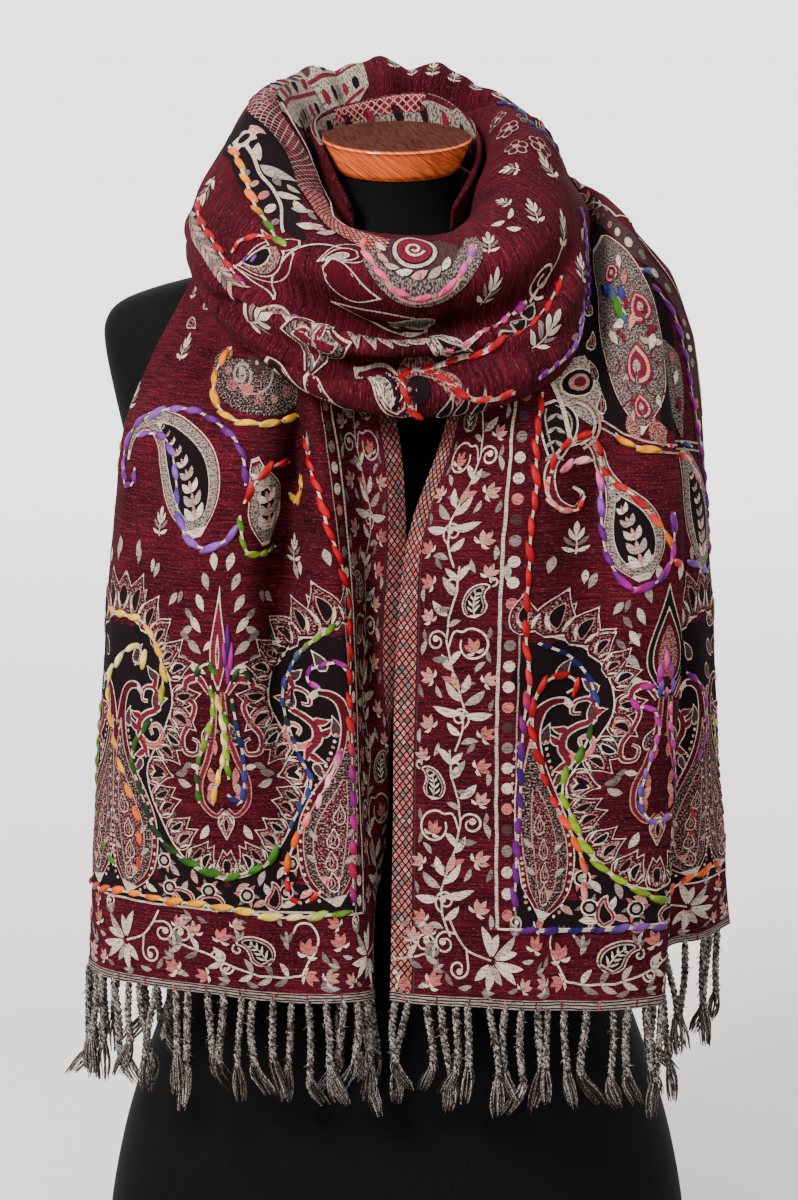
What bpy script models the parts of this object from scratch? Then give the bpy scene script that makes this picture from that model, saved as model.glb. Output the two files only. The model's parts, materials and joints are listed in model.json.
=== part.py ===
"""Embroidered wool shawl, wound once round the neck of a limbless dress form, with both fringed ends in front.

Metres, +Z up. The origin is the centre of the form's flat base, -Y is the front and +X the shawl's right-hand end
as seen from the front. Every stretch of cloth is a wall lofted through sections; a section is a row of named posts.
"""

import math

import bpy
import numpy as np
from mathutils import Matrix, Vector

MM = 0.001
CLOTH = 1.6 * MM  # thickness of the folded wool
FRINGE = 2.6 * MM  # thickness of the band that the twisted tassels fill
FRINGE_DROP = 72 * MM
GAP = 0.3 * MM  # between the cap and the neck
SEAM_TRIM = 0.5 * MM  # each side of a seam in the loop, so that its inside stays clear too
TOP_TRIM = 1.2 * MM  # each side of the kink where the right end leaves the loop
HEM_GAP = 0.8 * MM  # from a hem down to its fringe, wide enough where the hem slopes

# The longest steps between sections and between posts, for the hanging ends and for the rolls round the neck.
HANG_STEP = 38 * MM
ACROSS_STEP = 12 * MM
ROLL_STEP = 24 * MM
ROLL_POST_STEP = 14 * MM

NECK_Y = -6 * MM  # the neck leans forward, so its axis stands in front of the origin
CAP_TILT = math.radians(10)
CAP_FOOT_Z = 718 * MM
CAP_HEIGHT = 21.5 * MM
CAP_FOOT_RADIUS = 38.5 * MM
CAP_TOP_RADIUS = 47 * MM

# Level sections of the form, in mm. Columns: height, half width, front depth, back depth, and how square the plan is.
FORM_SECTIONS = (
    (0, 188, 112, 121, 2.3),
    (45, 187, 112, 123, 2.3),
    (95, 178, 110, 121, 2.3),
    (140, 165, 105, 115, 2.2),
    (190, 147, 97, 103, 2.2),
    (240, 128, 89, 91, 2.1),
    (278, 121, 86, 84, 2.1),
    (325, 126, 92, 87, 2.1),
    (385, 139, 103, 95, 2.1),
    (445, 151, 112, 103, 2.2),
    (495, 160, 112, 108, 2.3),
    (540, 170, 103, 109, 2.4),
    (580, 179, 88, 103, 2.5),
    (606, 184, 72, 92, 2.6),
    (623, 184, 58, 78, 2.6),
    (635, 175, 47, 66, 2.5),
    (644, 153, 42, 58, 2.4),
    (652, 123, 41, 52, 2.3),
    (661, 92, 42, 49, 2.2),
    (672, 64, 42, 46, 2.1),
    (688, 46, 40, 42, 2.0),
    (704, 40, 38.5, 39, 2.0),
    (718, 38.5, 38.5, 38.5, 2.0),
)

# The left end, in mm: a row is a height, then its posts, from the selvedge at the middle of the chest, round the outer
# side, to the hidden edge. A post is (x, y) at the row's height, or (x, y, z) where the cloth isn't level.
# Columns: height, selvedge, trellis, vine, stitch, valley, crest, face, round, side, rear, tuck, end.
LEFT_SECTIONS = (
    (218, (-34, -104), (-27, -112), (-15, -128), (-27, -147, 219), (-62, -143, 217), (-84, -147, 220), (-118, -144, 224),
     (-155, -126, 224), (-186, -93, 222), (-192, -60, 222), (-173, -48, 224), (-141, -66, 224)),
    (330, (-14, -112), (-6, -121), (-16, -134), (-29, -153), (-64, -139), (-84, -147), (-118, -146),
     (-153, -128), (-180, -95), (-186, -61), (-168, -50), (-137, -69)),
    (440, (4, -137), (-8, -136), (-20, -125), (-33, -156), (-73, -130), (-91, -148), (-120, -147),
     (-150, -129), (-173, -98), (-178, -66), (-160, -57), (-134, -78)),
    (520, (5, -133), (-5, -134), (-19, -124), (-40, -153), (-67, -125), (-84, -144), (-113, -143),
     (-142, -126), (-165, -96), (-172, -66), (-156, -62), (-130, -84)),
    (565, (1, -125), (-9, -127), (-23, -117), (-46, -141), (-60, -118), (-75, -133), (-104, -129),
     (-136, -111), (-158, -86), (-166, -64), (-151, -66), (-126, -83)),
    (600, (-8, -106), (-17, -108), (-30, -101), (-51, -118), (-62, -104), (-75, -113), (-98, -107),
     (-124, -93), (-144, -74), (-153, -59), (-141, -62), (-120, -71)),
    (636, (-30, -71), (-36, -73), (-44, -71), (-60, -81), (-68, -74), (-78, -80), (-96, -75),
     (-113, -64), (-128, -51), (-136, -41, 634), (-126, -42, 632), (-108, -48, 633)),
    (668, (-52, -25, 689), (-55, -25, 687), (-59, -25, 684), (-67, -29, 681), (-73, -26, 677), (-80, -28, 677),
     (-92, -26, 673), (-104, -22, 669), (-115, -17, 665), (-121, -12, 660), (-111, -14, 660), (-98, -17, 664)),
    (666, (-53, 8, 689), (-56, 9, 687), (-60, 9, 684), (-67, 9, 680), (-72, 10, 677), (-78, 11, 675),
     (-88, 12, 671), (-98, 14, 668), (-108, 15, 666), (-115, 18, 661), (-105, 19, 659.5), (-92, 16, 663)),
)

# The right end, in mm, in the same way, out to the edge of the flap that shows behind its pleat.
# Columns: height, selvedge, trellis, vine, stitch, trough, face, brow, edge, lap, turn, flap, outer.
RIGHT_SECTIONS = (
    (216, (-4, -143, 219), (9, -146, 218), (44, -151, 217), (77, -152, 215), (101, -148, 214), (130, -145, 213),
     (152, -137, 213), (165, -123, 213), (157, -106, 225), (166, -94, 238), (190, -80, 241), (211, -51, 244)),
    (325, (-2, -143), (10, -147), (42, -152), (76, -154), (101, -149), (129, -146),
     (152, -138), (168, -122), (158, -104), (167, -91), (187, -79), (204, -51)),
    (430, (3, -144), (14, -148), (44, -152), (78, -154), (118, -140), (140, -143),
     (158, -137), (172, -121), (162, -103), (169, -89), (185, -77), (198, -49)),
    (510, (17, -140), (25, -143), (50, -148), (82, -151), (120, -134), (142, -138),
     (159, -132), (173, -116), (163, -98), (168, -86), (181, -73), (193, -45)),
    (560, (28, -131), (35, -134), (55, -138), (84, -140), (125, -116), (141, -122),
     (155, -119), (168, -105), (160, -88), (164, -78), (177, -65), (190, -39)),
    (600, (38, -112), (44, -114), (61, -118), (88, -118), (122, -92), (137, -102),
     (150, -101), (163, -89), (157, -73), (161, -63), (174, -49), (187, -29)),
    (634, (52, -80), (57, -82), (71, -85), (91, -84), (120, -58, 636), (134, -66, 645),
     (146, -66, 648), (157, -57, 646), (153, -46, 640), (158, -38, 638), (172, -28, 633), (183.6, -18.2, 620)),
    (664, (72, -42, 668), (76, -42, 668), (86, -42, 667), (100, -38, 665), (119, -24, 664), (131, -28, 680),
     (138, -26, 687), (146, -20, 684), (145, -13, 679), (149, -9, 676), (159, -2, 668), (171, 6, 655)),
    (690, (84, -8, 667), (88, -7, 667), (96, -6, 666), (107, -3, 664), (121, 2, 668), (126, 4, 687),
     (130, 9, 697), (135, 14, 697), (136, 19, 693), (139, 22, 690), (148, 29, 681), (160, 36, 662)),
    (695, (92, 22, 668), (94, 23, 668.5), (98, 24, 669), (105, 26, 670), (114, 28, 678), (120, 29, 691),
     (125, 31, 699), (130, 34, 701), (133, 38, 698), (137, 41, 694), (144, 46, 685), (153, 52, 667)),
    (700, (95, 40, 708), (96, 41, 711), (98, 42, 713), (101, 44, 713), (106, 47, 711), (111, 49, 709),
     (116, 51, 707), (122, 53, 702), (126, 55, 697), (130, 57, 691), (136, 60, 682), (143, 64, 668)),
    (710, (86.6, 44, 745), (88, 45, 747), (91, 46.5, 747.5), (94, 48, 743), (102, 53, 730), (107, 56, 716),
     (112.6, 59, 705), (116, 61, 693), (119, 63, 687), (123, 65, 681), (127, 67, 669), (124, 66, 659)),
)

# The loop, in mm: a row is an angle from the front in degrees, positive to the right, then its posts as (radius from
# the neck, height), from inside the lip, over the top and down three rolls to the tuck beneath.
# Columns: angle, inside, lip, top, crest1, crease1, crest2, crease2, crest3, foot, under.
LOOP_SECTIONS = (
    (-240, (100, 745), (104, 748), (108, 744), (118, 730), (124, 716), (130, 705),
     (134, 693), (142, 681), (147, 669), (144, 659)),
    (-218, (78, 748), (84, 765), (93, 768), (112, 740), (118, 716), (129, 696),
     (130, 676), (140, 656), (142, 634), (134, 638)),
    (-180, (64, 745), (70, 776), (82, 783), (112, 754), (106, 722), (129, 696),
     (119, 668), (139, 640), (134, 602), (125, 606)),
    (-152, (60, 726), (66, 762), (82, 780), (116, 744), (112, 710), (132, 688),
     (123, 662), (135, 640), (129, 612), (121, 616)),
    (-130, (58, 715), (61, 752), (80, 774), (116, 730), (119, 700), (132, 682),
     (124, 662), (129, 644), (124, 625.5), (116, 629.5)),
    (-112, (58, 708), (60, 748), (79, 771), (117, 722), (125, 696), (131, 684),
     (127, 673), (129, 663), (124.5, 652), (116.3, 655.2)),
    (-95, (58, 705), (59, 744), (79, 767), (115, 718), (127, 695), (130, 686),
     (128, 681), (129, 675), (125.5, 666), (117.3, 668.2)),
    (-70, (56, 694), (58, 726), (86, 744), (127, 706), (135, 684), (138, 675),
     (136, 669), (137, 664), (132, 655), (124, 658)),
    (-45, (58, 682), (61, 700), (90, 708), (137, 685), (142, 660), (153, 652),
     (148, 643), (151, 637), (145, 627), (137, 632)),
    (-22, (67, 668), (73, 684), (96, 688), (133, 667), (127, 640), (152, 631),
     (144, 616), (158, 608), (152, 595), (144, 601)),
    (0, (70, 664), (76, 679), (99, 681), (133, 655), (123, 625), (151, 616),
     (143, 604), (160, 594), (154, 580), (146, 587)),
    (22, (69, 665), (75, 680), (98, 684), (135, 661), (128, 634), (152, 622),
     (148, 609), (162, 598), (156, 584), (148, 591)),
    (42, (62, 676), (71, 694), (92, 702), (134, 682), (138, 655), (152, 640),
     (150, 626), (156, 615), (151, 603), (143, 609)),
    (62, (57, 694), (60, 716), (80, 731), (115, 710), (125, 687), (131, 670),
     (131, 658), (132, 650), (128, 640), (120, 645)),
    (88, (57, 706), (59, 736), (73, 751), (99, 730), (110, 709), (115, 698),
     (115, 690), (116, 684), (113, 677), (106, 680)),
    (112, (57, 710), (59, 742), (69, 757), (86, 742), (93, 722), (96, 708),
     (96, 698), (97, 690), (94, 682), (88, 684)),
    (140, (58, 712), (59, 736), (61, 748), (64, 744), (65, 730), (66, 718),
     (66, 708), (66, 700), (65, 694), (62, 695)),
)
LOOP_SEAM = -130  # where the front of the loop passes into the turn behind the neck

# The first turn behind the neck, hidden but for its rolled edge, in the same way.
# Columns: angle, foot, wall, rim, roll, drop.
INNER_SECTIONS = (
    (-318, (50, 683), (50.5, 688), (51, 694), (52, 697), (54, 695)),
    (-290, (47, 690), (49.5, 703), (50.5, 716), (51.5, 721), (53.5, 718)),
    (-250, (47, 692), (50, 716), (51, 738), (52, 744), (53.5, 741)),
    (-200, (50, 696), (51.5, 724), (53.5, 757), (57, 764), (61, 760)),
    (-150, (50, 696), (51.5, 722), (53.5, 752), (56, 758), (58.5, 755)),
    (-100, (49, 694), (50, 716), (51, 742), (52.5, 748), (54, 745)),
    (-60, (48, 690), (48.5, 704), (49, 720), (50.5, 728), (53, 724)),
    (-32, (50, 684), (51, 688), (52, 693), (53.5, 697), (55.5, 695)),
)


def material(name, colour, roughness):
    """A Principled material with a plain colour."""
    made = bpy.data.materials.new(name)
    made.use_nodes = True
    shader = made.node_tree.nodes["Principled BSDF"]
    shader.inputs["Base Color"].default_value = (*colour, 1)
    shader.inputs["Roughness"].default_value = roughness
    made.diffuse_color = (*colour, 1)
    return made


def curve_through(values, knots, at):
    """A smooth curve through values at knots, read at the given places; values may have any further axes."""
    values, knots, at = np.asarray(values, float), np.asarray(knots, float), np.asarray(at, float)
    steps = np.diff(knots)
    shape = (-1,) + (1,) * (values.ndim - 1)
    slopes = np.diff(values, axis=0) / steps.reshape(shape)
    before, after = steps[:-1].reshape(shape), steps[1:].reshape(shape)
    inner = (slopes[:-1] * after + slopes[1:] * before) / (before + after)
    tangents = np.concatenate([slopes[:1], inner, slopes[-1:]])
    span = np.clip(np.searchsorted(knots, at, side="right") - 1, 0, len(steps) - 1)
    length = steps[span].reshape(shape)
    t = ((at - knots[span]) / steps[span]).reshape(shape)
    start, end = values[span], values[span + 1]
    return (
        (2 * t**3 - 3 * t**2 + 1) * start
        + (t**3 - 2 * t**2 + t) * length * tangents[span]
        + (3 * t**2 - 2 * t**3) * end
        + (t**3 - t**2) * length * tangents[span + 1]
    )


def chord_knots(points):
    """Knots along the first axis, spaced by the mean distance between neighbouring rows."""
    steps = np.linalg.norm(np.diff(points, axis=0), axis=2).mean(axis=1)
    return np.concatenate([[0], np.cumsum(steps)])


def places(knots, step, fewest, trim=(0, 0)):
    """Where to read a curve: every knot, and even steps between, at least fewest to each stretch."""
    counts = np.maximum(fewest, np.ceil(np.diff(knots) / step)).astype(int)
    found = [np.linspace(a, b, n, endpoint=False) for a, b, n in zip(knots[:-1], knots[1:], counts)]
    found = np.concatenate(found + [knots[-1:]])
    found[0] += trim[0]
    found[-1] -= trim[1]
    return found


def loft(points, row_step, post_step, fewest=1, trim=(0, 0)):
    """A grid of points smoothly through the sections, cut back at the first and last by trim metres."""
    rows = chord_knots(points)
    posts = chord_knots(points.swapaxes(0, 1))
    at_rows = places(rows, row_step, fewest, trim)
    at_posts = places(posts, post_step, 1)
    return curve_through(curve_through(points, rows, at_rows).swapaxes(0, 1), posts, at_posts).swapaxes(0, 1)


def level_points(sections):
    """The posts of a hanging end as points: each row is a height, then (x, y) or (x, y, z) for each post."""
    return np.array([[(p[0], p[1], p[2] if len(p) > 2 else row[0]) for p in row[1:]] for row in sections]) * MM


def ring_points(sections):
    """The posts of a turn round the neck as points: each row is an angle, then (radius, height) for each post."""
    rows = []
    for angle, *posts in sections:
        turn = math.radians(angle)
        rows.append([(r * MM * math.sin(turn), NECK_Y - r * MM * math.cos(turn), z * MM) for r, z in posts])
    return np.array(rows)


def link(name, mesh, finish):
    """A new object in the shawl's collection."""
    made = bpy.data.objects.new(name, mesh)
    made.data.materials.append(finish)
    parts.objects.link(made)
    return made


def wall(name, grid, thickness, finish):
    """A cloth wall: the grid of points as an open surface, thickened both ways by Solidify."""
    along, across = grid.shape[:2]
    faces = [
        (i * across + j, i * across + j + 1, (i + 1) * across + j + 1, (i + 1) * across + j)
        for i in range(along - 1)
        for j in range(across - 1)
    ]
    mesh = bpy.data.meshes.new(name)
    mesh.from_pydata(grid.reshape(-1, 3).tolist(), [], faces)
    mesh.shade_smooth()
    made = link(name, mesh, finish)
    thick = made.modifiers.new("Cloth", "SOLIDIFY")
    thick.thickness = thickness
    thick.offset = 0
    return made


def form_ring(height, half_width, front, back, square, count):
    """One level section of the form: a superellipse, deeper behind than in front or the other way round."""
    points = []
    for step in range(count):
        turn = 2 * math.pi * step / count
        c, s = math.cos(turn), math.sin(turn)
        x = half_width * math.copysign(abs(c) ** (2 / square), c)
        y = (back if s > 0 else front) * math.copysign(abs(s) ** (2 / square), s)
        points.append((x * MM, y * MM, height * MM))
    return points


def torso(finish):
    """The form's body and neck: a loft through the level sections, whose top leans to carry the cap."""
    count, between = 40, 30
    table = np.array(FORM_SECTIONS, float)
    heights = table[:, 0]
    # closer rings where the shoulders turn in to the neck
    levels = np.concatenate([np.linspace(0, 600, 15), np.linspace(612, heights[-1], between - 15)])
    rows = curve_through(table, np.arange(len(table)), np.interp(levels, heights, np.arange(len(table))))
    rings = np.array([form_ring(*row, count) for row in rows])
    lean = np.clip((rings[:, :, 2] / MM - 672) / (heights[-1] - 672), 0, 1)
    rings[:, :, 1] += lean * NECK_Y
    rings[:, :, 2] += lean * (rings[:, :, 1] - NECK_Y) * math.tan(CAP_TILT)
    faces = [
        (i * count + j, i * count + (j + 1) % count, (i + 1) * count + (j + 1) % count, (i + 1) * count + j)
        for i in range(len(rings) - 1)
        for j in range(count)
    ]
    faces.append(tuple(range(count))[::-1])
    faces.append(tuple(range((len(rings) - 1) * count, len(rings) * count)))
    mesh = bpy.data.meshes.new("form_torso")
    mesh.from_pydata(rings.reshape(-1, 3).tolist(), [], faces)
    mesh.shade_smooth()
    mesh.set_sharp_from_angle(angle=math.radians(50))
    return link("form_torso", mesh, finish)


def neck_cap(finish):
    """The turned wooden cap: a cone that widens upwards, with its edges rounded, tilted forward on the neck."""
    bpy.ops.mesh.primitive_cone_add(
        vertices=48, radius1=CAP_FOOT_RADIUS, radius2=CAP_TOP_RADIUS, depth=CAP_HEIGHT, location=(0, 0, CAP_HEIGHT / 2)
    )
    made = bpy.context.active_object
    made.name = made.data.name = "form_neck_cap"
    bpy.ops.object.transform_apply(location=True, rotation=True, scale=True)
    round_edges = made.modifiers.new("Rounded", "BEVEL")
    round_edges.width = 1.6 * MM
    round_edges.segments = 3
    round_edges.limit_method = "ANGLE"
    made.data.shade_smooth()
    made.data.materials.append(finish)
    made.matrix_world = Matrix.Translation(Vector((0, NECK_Y, CAP_FOOT_Z + GAP))) @ Matrix.Rotation(CAP_TILT, 4, "X")
    for collection in made.users_collection:
        collection.objects.unlink(made)
    parts.objects.link(made)
    return made


def fringe(name, hem, finish):
    """The band that the tassels fill, straight down from a hem."""
    top = hem - np.array((0, 0, HEM_GAP))
    rows = [top - np.array((0, 0, FRINGE_DROP * share)) for share in (0, 1 / 3, 2 / 3, 1)]
    return wall(name, np.array(rows), FRINGE, finish)


for old in list(bpy.data.objects):
    bpy.data.objects.remove(old)
parts = bpy.data.collections.new("embroidered_shawl")
bpy.context.scene.collection.children.link(parts)

maroon_wool = material("maroon_wool", (0.13, 0.012, 0.022), 0.9)
marl_yarn = material("marl_yarn", (0.42, 0.40, 0.36), 0.95)
black_jersey = material("black_jersey", (0.012, 0.012, 0.014), 0.85)
varnished_wood = material("varnished_wood", (0.42, 0.11, 0.02), 0.25)

torso(black_jersey)
neck_cap(varnished_wood)

left_end = loft(level_points(LEFT_SECTIONS), HANG_STEP, ACROSS_STEP, fewest=2)
right_end = loft(level_points(RIGHT_SECTIONS), HANG_STEP, ACROSS_STEP, trim=(0, TOP_TRIM))
wall("shawl_left_end", left_end, CLOTH, maroon_wool)
wall("shawl_right_end", right_end, CLOTH, maroon_wool)
fringe("fringe_left", left_end[0], marl_yarn)
fringe("fringe_right", right_end[0], marl_yarn)

seam = [row[0] for row in LOOP_SECTIONS].index(LOOP_SEAM)
loop_points = ring_points(LOOP_SECTIONS)
back_outer = loft(loop_points[: seam + 1], ROLL_STEP, ROLL_POST_STEP, trim=(TOP_TRIM, SEAM_TRIM))
front_loop = loft(loop_points[seam:], ROLL_STEP, ROLL_POST_STEP, fewest=2, trim=(SEAM_TRIM, 0))
back_inner = loft(ring_points(INNER_SECTIONS), ROLL_STEP, ROLL_POST_STEP)
wall("shawl_back_outer", back_outer, CLOTH, maroon_wool)
wall("shawl_front_loop", front_loop, CLOTH, maroon_wool)
wall("shawl_back_inner", back_inner, CLOTH, maroon_wool)
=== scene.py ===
import json
import math

import bmesh
import bpy
import numpy as np
from mathutils import Matrix, Vector

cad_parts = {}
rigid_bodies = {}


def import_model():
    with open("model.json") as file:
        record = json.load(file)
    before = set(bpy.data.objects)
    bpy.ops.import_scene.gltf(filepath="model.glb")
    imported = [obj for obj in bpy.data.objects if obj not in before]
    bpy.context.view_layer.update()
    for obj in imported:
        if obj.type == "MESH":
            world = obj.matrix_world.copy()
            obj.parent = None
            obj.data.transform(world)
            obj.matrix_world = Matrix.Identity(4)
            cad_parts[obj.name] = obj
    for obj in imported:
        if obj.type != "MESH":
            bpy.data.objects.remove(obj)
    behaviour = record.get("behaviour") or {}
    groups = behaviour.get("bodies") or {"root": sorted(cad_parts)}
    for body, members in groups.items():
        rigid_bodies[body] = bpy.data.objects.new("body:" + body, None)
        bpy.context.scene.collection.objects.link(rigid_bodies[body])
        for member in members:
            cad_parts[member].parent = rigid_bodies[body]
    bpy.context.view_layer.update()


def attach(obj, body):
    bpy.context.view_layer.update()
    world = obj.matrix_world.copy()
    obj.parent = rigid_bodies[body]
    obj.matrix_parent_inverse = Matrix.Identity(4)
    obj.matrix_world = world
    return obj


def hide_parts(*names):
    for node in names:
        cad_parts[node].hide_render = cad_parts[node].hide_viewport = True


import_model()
print("frame loaded")

mm = 0.001
scene = bpy.context.scene

# linear colours: yarns are the dyed wools of the weave, silks the thick yarns stitched by hand
yarns = {
    "maroon": (0.024, 0.0014, 0.0036),
    "wine": (0.052, 0.0040, 0.0085),
    "cream": (0.215, 0.172, 0.138),
    "pink": (0.150, 0.043, 0.038),
    "rosy": (0.170, 0.080, 0.066),
    "grey": (0.062, 0.046, 0.042),
    "stone": (0.125, 0.098, 0.084),
    "dusk": (0.020, 0.0095, 0.0105),
    "ash": (0.240, 0.208, 0.180),
    "flint": (0.120, 0.104, 0.092),
    "black": (0.0022, 0.0016, 0.0020),
}

silks = {
    "red": (0.150, 0.0006, 0.0028),
    "coral": (0.250, 0.0085, 0.0085),
    "orange": (0.330, 0.058, 0.0010),
    "gold": (0.330, 0.128, 0.0016),
    "yellow": (0.370, 0.235, 0.018),
    "pale": (0.370, 0.320, 0.130),
    "lime": (0.100, 0.150, 0.0070),
    "green": (0.014, 0.056, 0.0016),
    "forest": (0.0026, 0.0105, 0.0018),
    "blue": (0.0115, 0.0135, 0.070),
    "navy": (0.0032, 0.0024, 0.030),
    "lilac": (0.085, 0.026, 0.150),
    "purple": (0.044, 0.0012, 0.060),
    "magenta": (0.145, 0.0038, 0.085),
    "rose": (0.300, 0.036, 0.088),
    "blush": (0.350, 0.165, 0.165),
}


def curveThrough(values, knots, at):
    # a smooth Hermite curve through values at knots; values may have more axes
    values, knots, at = np.asarray(values, float), np.asarray(knots, float), np.asarray(at, float)
    steps = np.diff(knots)
    shape = (-1,) + (1,) * (values.ndim - 1)
    slopes = np.diff(values, axis=0) / steps.reshape(shape)
    before, after = steps[:-1].reshape(shape), steps[1:].reshape(shape)
    inner = (slopes[:-1] * after + slopes[1:] * before) / (before + after)
    tangents = np.concatenate([slopes[:1], inner, slopes[-1:]])
    span = np.clip(np.searchsorted(knots, at, side="right") - 1, 0, len(steps) - 1)
    length = steps[span].reshape(shape)
    t = ((at - knots[span]) / steps[span]).reshape(shape)
    return (
        (2 * t**3 - 3 * t**2 + 1) * values[span]
        + (t**3 - 2 * t**2 + t) * length * tangents[span]
        + (3 * t**2 - 2 * t**3) * values[span + 1]
        + (t**3 - t**2) * length * tangents[span + 1]
    )


def unit(vectors):
    return vectors / np.maximum(np.linalg.norm(vectors, axis=-1, keepdims=True), 1e-12)


def chordKnots(points):
    steps = np.linalg.norm(np.diff(points, axis=0), axis=2).mean(axis=1)
    return np.concatenate([[0], np.cumsum(steps)])


def lengthsAlong(path):
    return np.r_[0, np.cumsum(np.linalg.norm(np.diff(path, axis=0), axis=1))]


def lineAt(path, lengths, at):
    # places on a path: curved through three points or more, straight between two
    if len(path) > 2:
        return curveThrough(path, lengths, at)
    return path[0] + (path[1] - path[0]) * (at / lengths[-1])[:, None]


def sideways(line):
    # directions square to a flat line, to its right
    ahead = unit(np.gradient(line, axis=0))
    return np.stack([ahead[:, 1], -ahead[:, 0]], axis=1)


def smooth(t):
    t = np.clip(t, 0, 1)
    return t * t * (3 - 2 * t)


rippling = {"sizes": (90, 60, 42, 27), "turn": 0.9, "fullTurn": 6.28, "lengthways": 2.7}


class Cloth:
    # a stretch of cloth as a fine grid: rows run along it (v), columns across it (u), both in flat mm;
    # side says which way its face looks, lane and lift how the figures lie on it
    def __init__(self, points, across, step, side, folds=(), ripple=0.0, seed=0, lane=4.5, lift=0.22):
        rowKnots = chordKnots(points) / mm
        postKnots = chordKnots(points.swapaxes(0, 1)) / mm
        across = postKnots if across is None else np.asarray(across, float)
        self.length, self.width = rowKnots[-1], across[-1]
        self.v = np.linspace(0, self.length, int(self.length / step) + 1)
        self.u = np.linspace(0, self.width, int(self.width / step) + 1)
        atPosts = np.interp(self.u, across, postKnots)
        grid = curveThrough(points, rowKnots, self.v)
        grid = curveThrough(grid.swapaxes(0, 1), postKnots, atPosts).swapaxes(0, 1)
        self.side, self.lane, self.lift, self.grid = side, lane, lift, grid
        uu, vv = np.meshgrid(self.u, self.v)
        push = np.zeros_like(uu)
        for fold in folds:
            push += self.fold(uu, vv, *fold)
        if ripple:
            rng = np.random.default_rng(seed)
            sizes, full = rippling["sizes"], rippling["fullTurn"]
            for size in sizes:
                turn, phase = rng.uniform(-rippling["turn"], rippling["turn"]), rng.uniform(0, full, 2)
                wave = np.sin((uu * math.cos(turn) + vv * math.sin(turn)) * full / size + phase[0])
                wave *= np.sin(vv * full / (size * rippling["lengthways"]) + phase[1])
                push += ripple * size / sizes[0] * wave
        self.normal = self.normals()
        self.grid = grid + self.normal * (push * mm)[..., None]
        self.normal = self.normals()

    @staticmethod
    def fold(uu, vv, depth, width, *path):
        # a soft trough (negative depth) or ridge along a path of flat places, fading at both ends
        path = np.array(path, float)
        starts = lengthsAlong(path)
        nearest, share = np.full(uu.shape, np.inf), np.zeros(uu.shape)
        for k, step in enumerate(np.diff(starts)):
            du, dv = path[k + 1] - path[k]
            t = np.clip(((uu - path[k, 0]) * du + (vv - path[k, 1]) * dv) / step**2, 0, 1)
            gap = np.hypot(uu - path[k, 0] - t * du, vv - path[k, 1] - t * dv)
            share = np.where(gap < nearest, (starts[k] + t * step) / starts[-1], share)
            nearest = np.minimum(gap, nearest)
        return depth * np.sin(np.pi * share) ** 0.6 * np.exp(-((nearest / width) ** 2))

    def normals(self):
        du = np.gradient(self.grid, axis=1)
        dv = np.gradient(self.grid, axis=0)
        return unit(np.cross(du, dv)) * self.side

    def read(self, table, u, v):
        # a table's values between its grid places, at flat places on the cloth
        u, v = np.asarray(u, float), np.asarray(v, float)
        i = np.clip(v / self.length * (len(self.v) - 1), 0, len(self.v) - 1.001)
        j = np.clip(u / self.width * (len(self.u) - 1), 0, len(self.u) - 1.001)
        a, b = i.astype(int), j.astype(int)
        s, t = (i - a)[..., None], (j - b)[..., None]
        return (table[a, b] * (1 - s) + table[a + 1, b] * s) * (1 - t) + (
            table[a, b + 1] * (1 - s) + table[a + 1, b + 1] * s
        ) * t

    def at(self, u, v, lift=0.0):
        # a point lift metres above the cloth, and the normal there
        normal = unit(self.read(self.normal, u, v))
        return self.read(self.grid, u, v) + normal * np.asarray(lift)[..., None], normal


def levelPoints(sections):
    # a post without a height of its own lies at its section's
    return np.array([[(x, y, *(z or [level])) for x, y, *z in posts] for level, *posts in sections]) * mm


def ringPoints(sections, neckY=-6):
    rows = []
    for angle, *posts in sections:
        turn = math.radians(angle)
        rows.append([(r * math.sin(turn), neckY - r * math.cos(turn), z) for r, z in posts])
    return np.array(rows) * mm


# the stretches, in mm, on the solids' own sections: a height or an angle, then the posts across the cloth;
# across gives the posts' flat places, and each fold is its depth, its width and the flat places of its path

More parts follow.
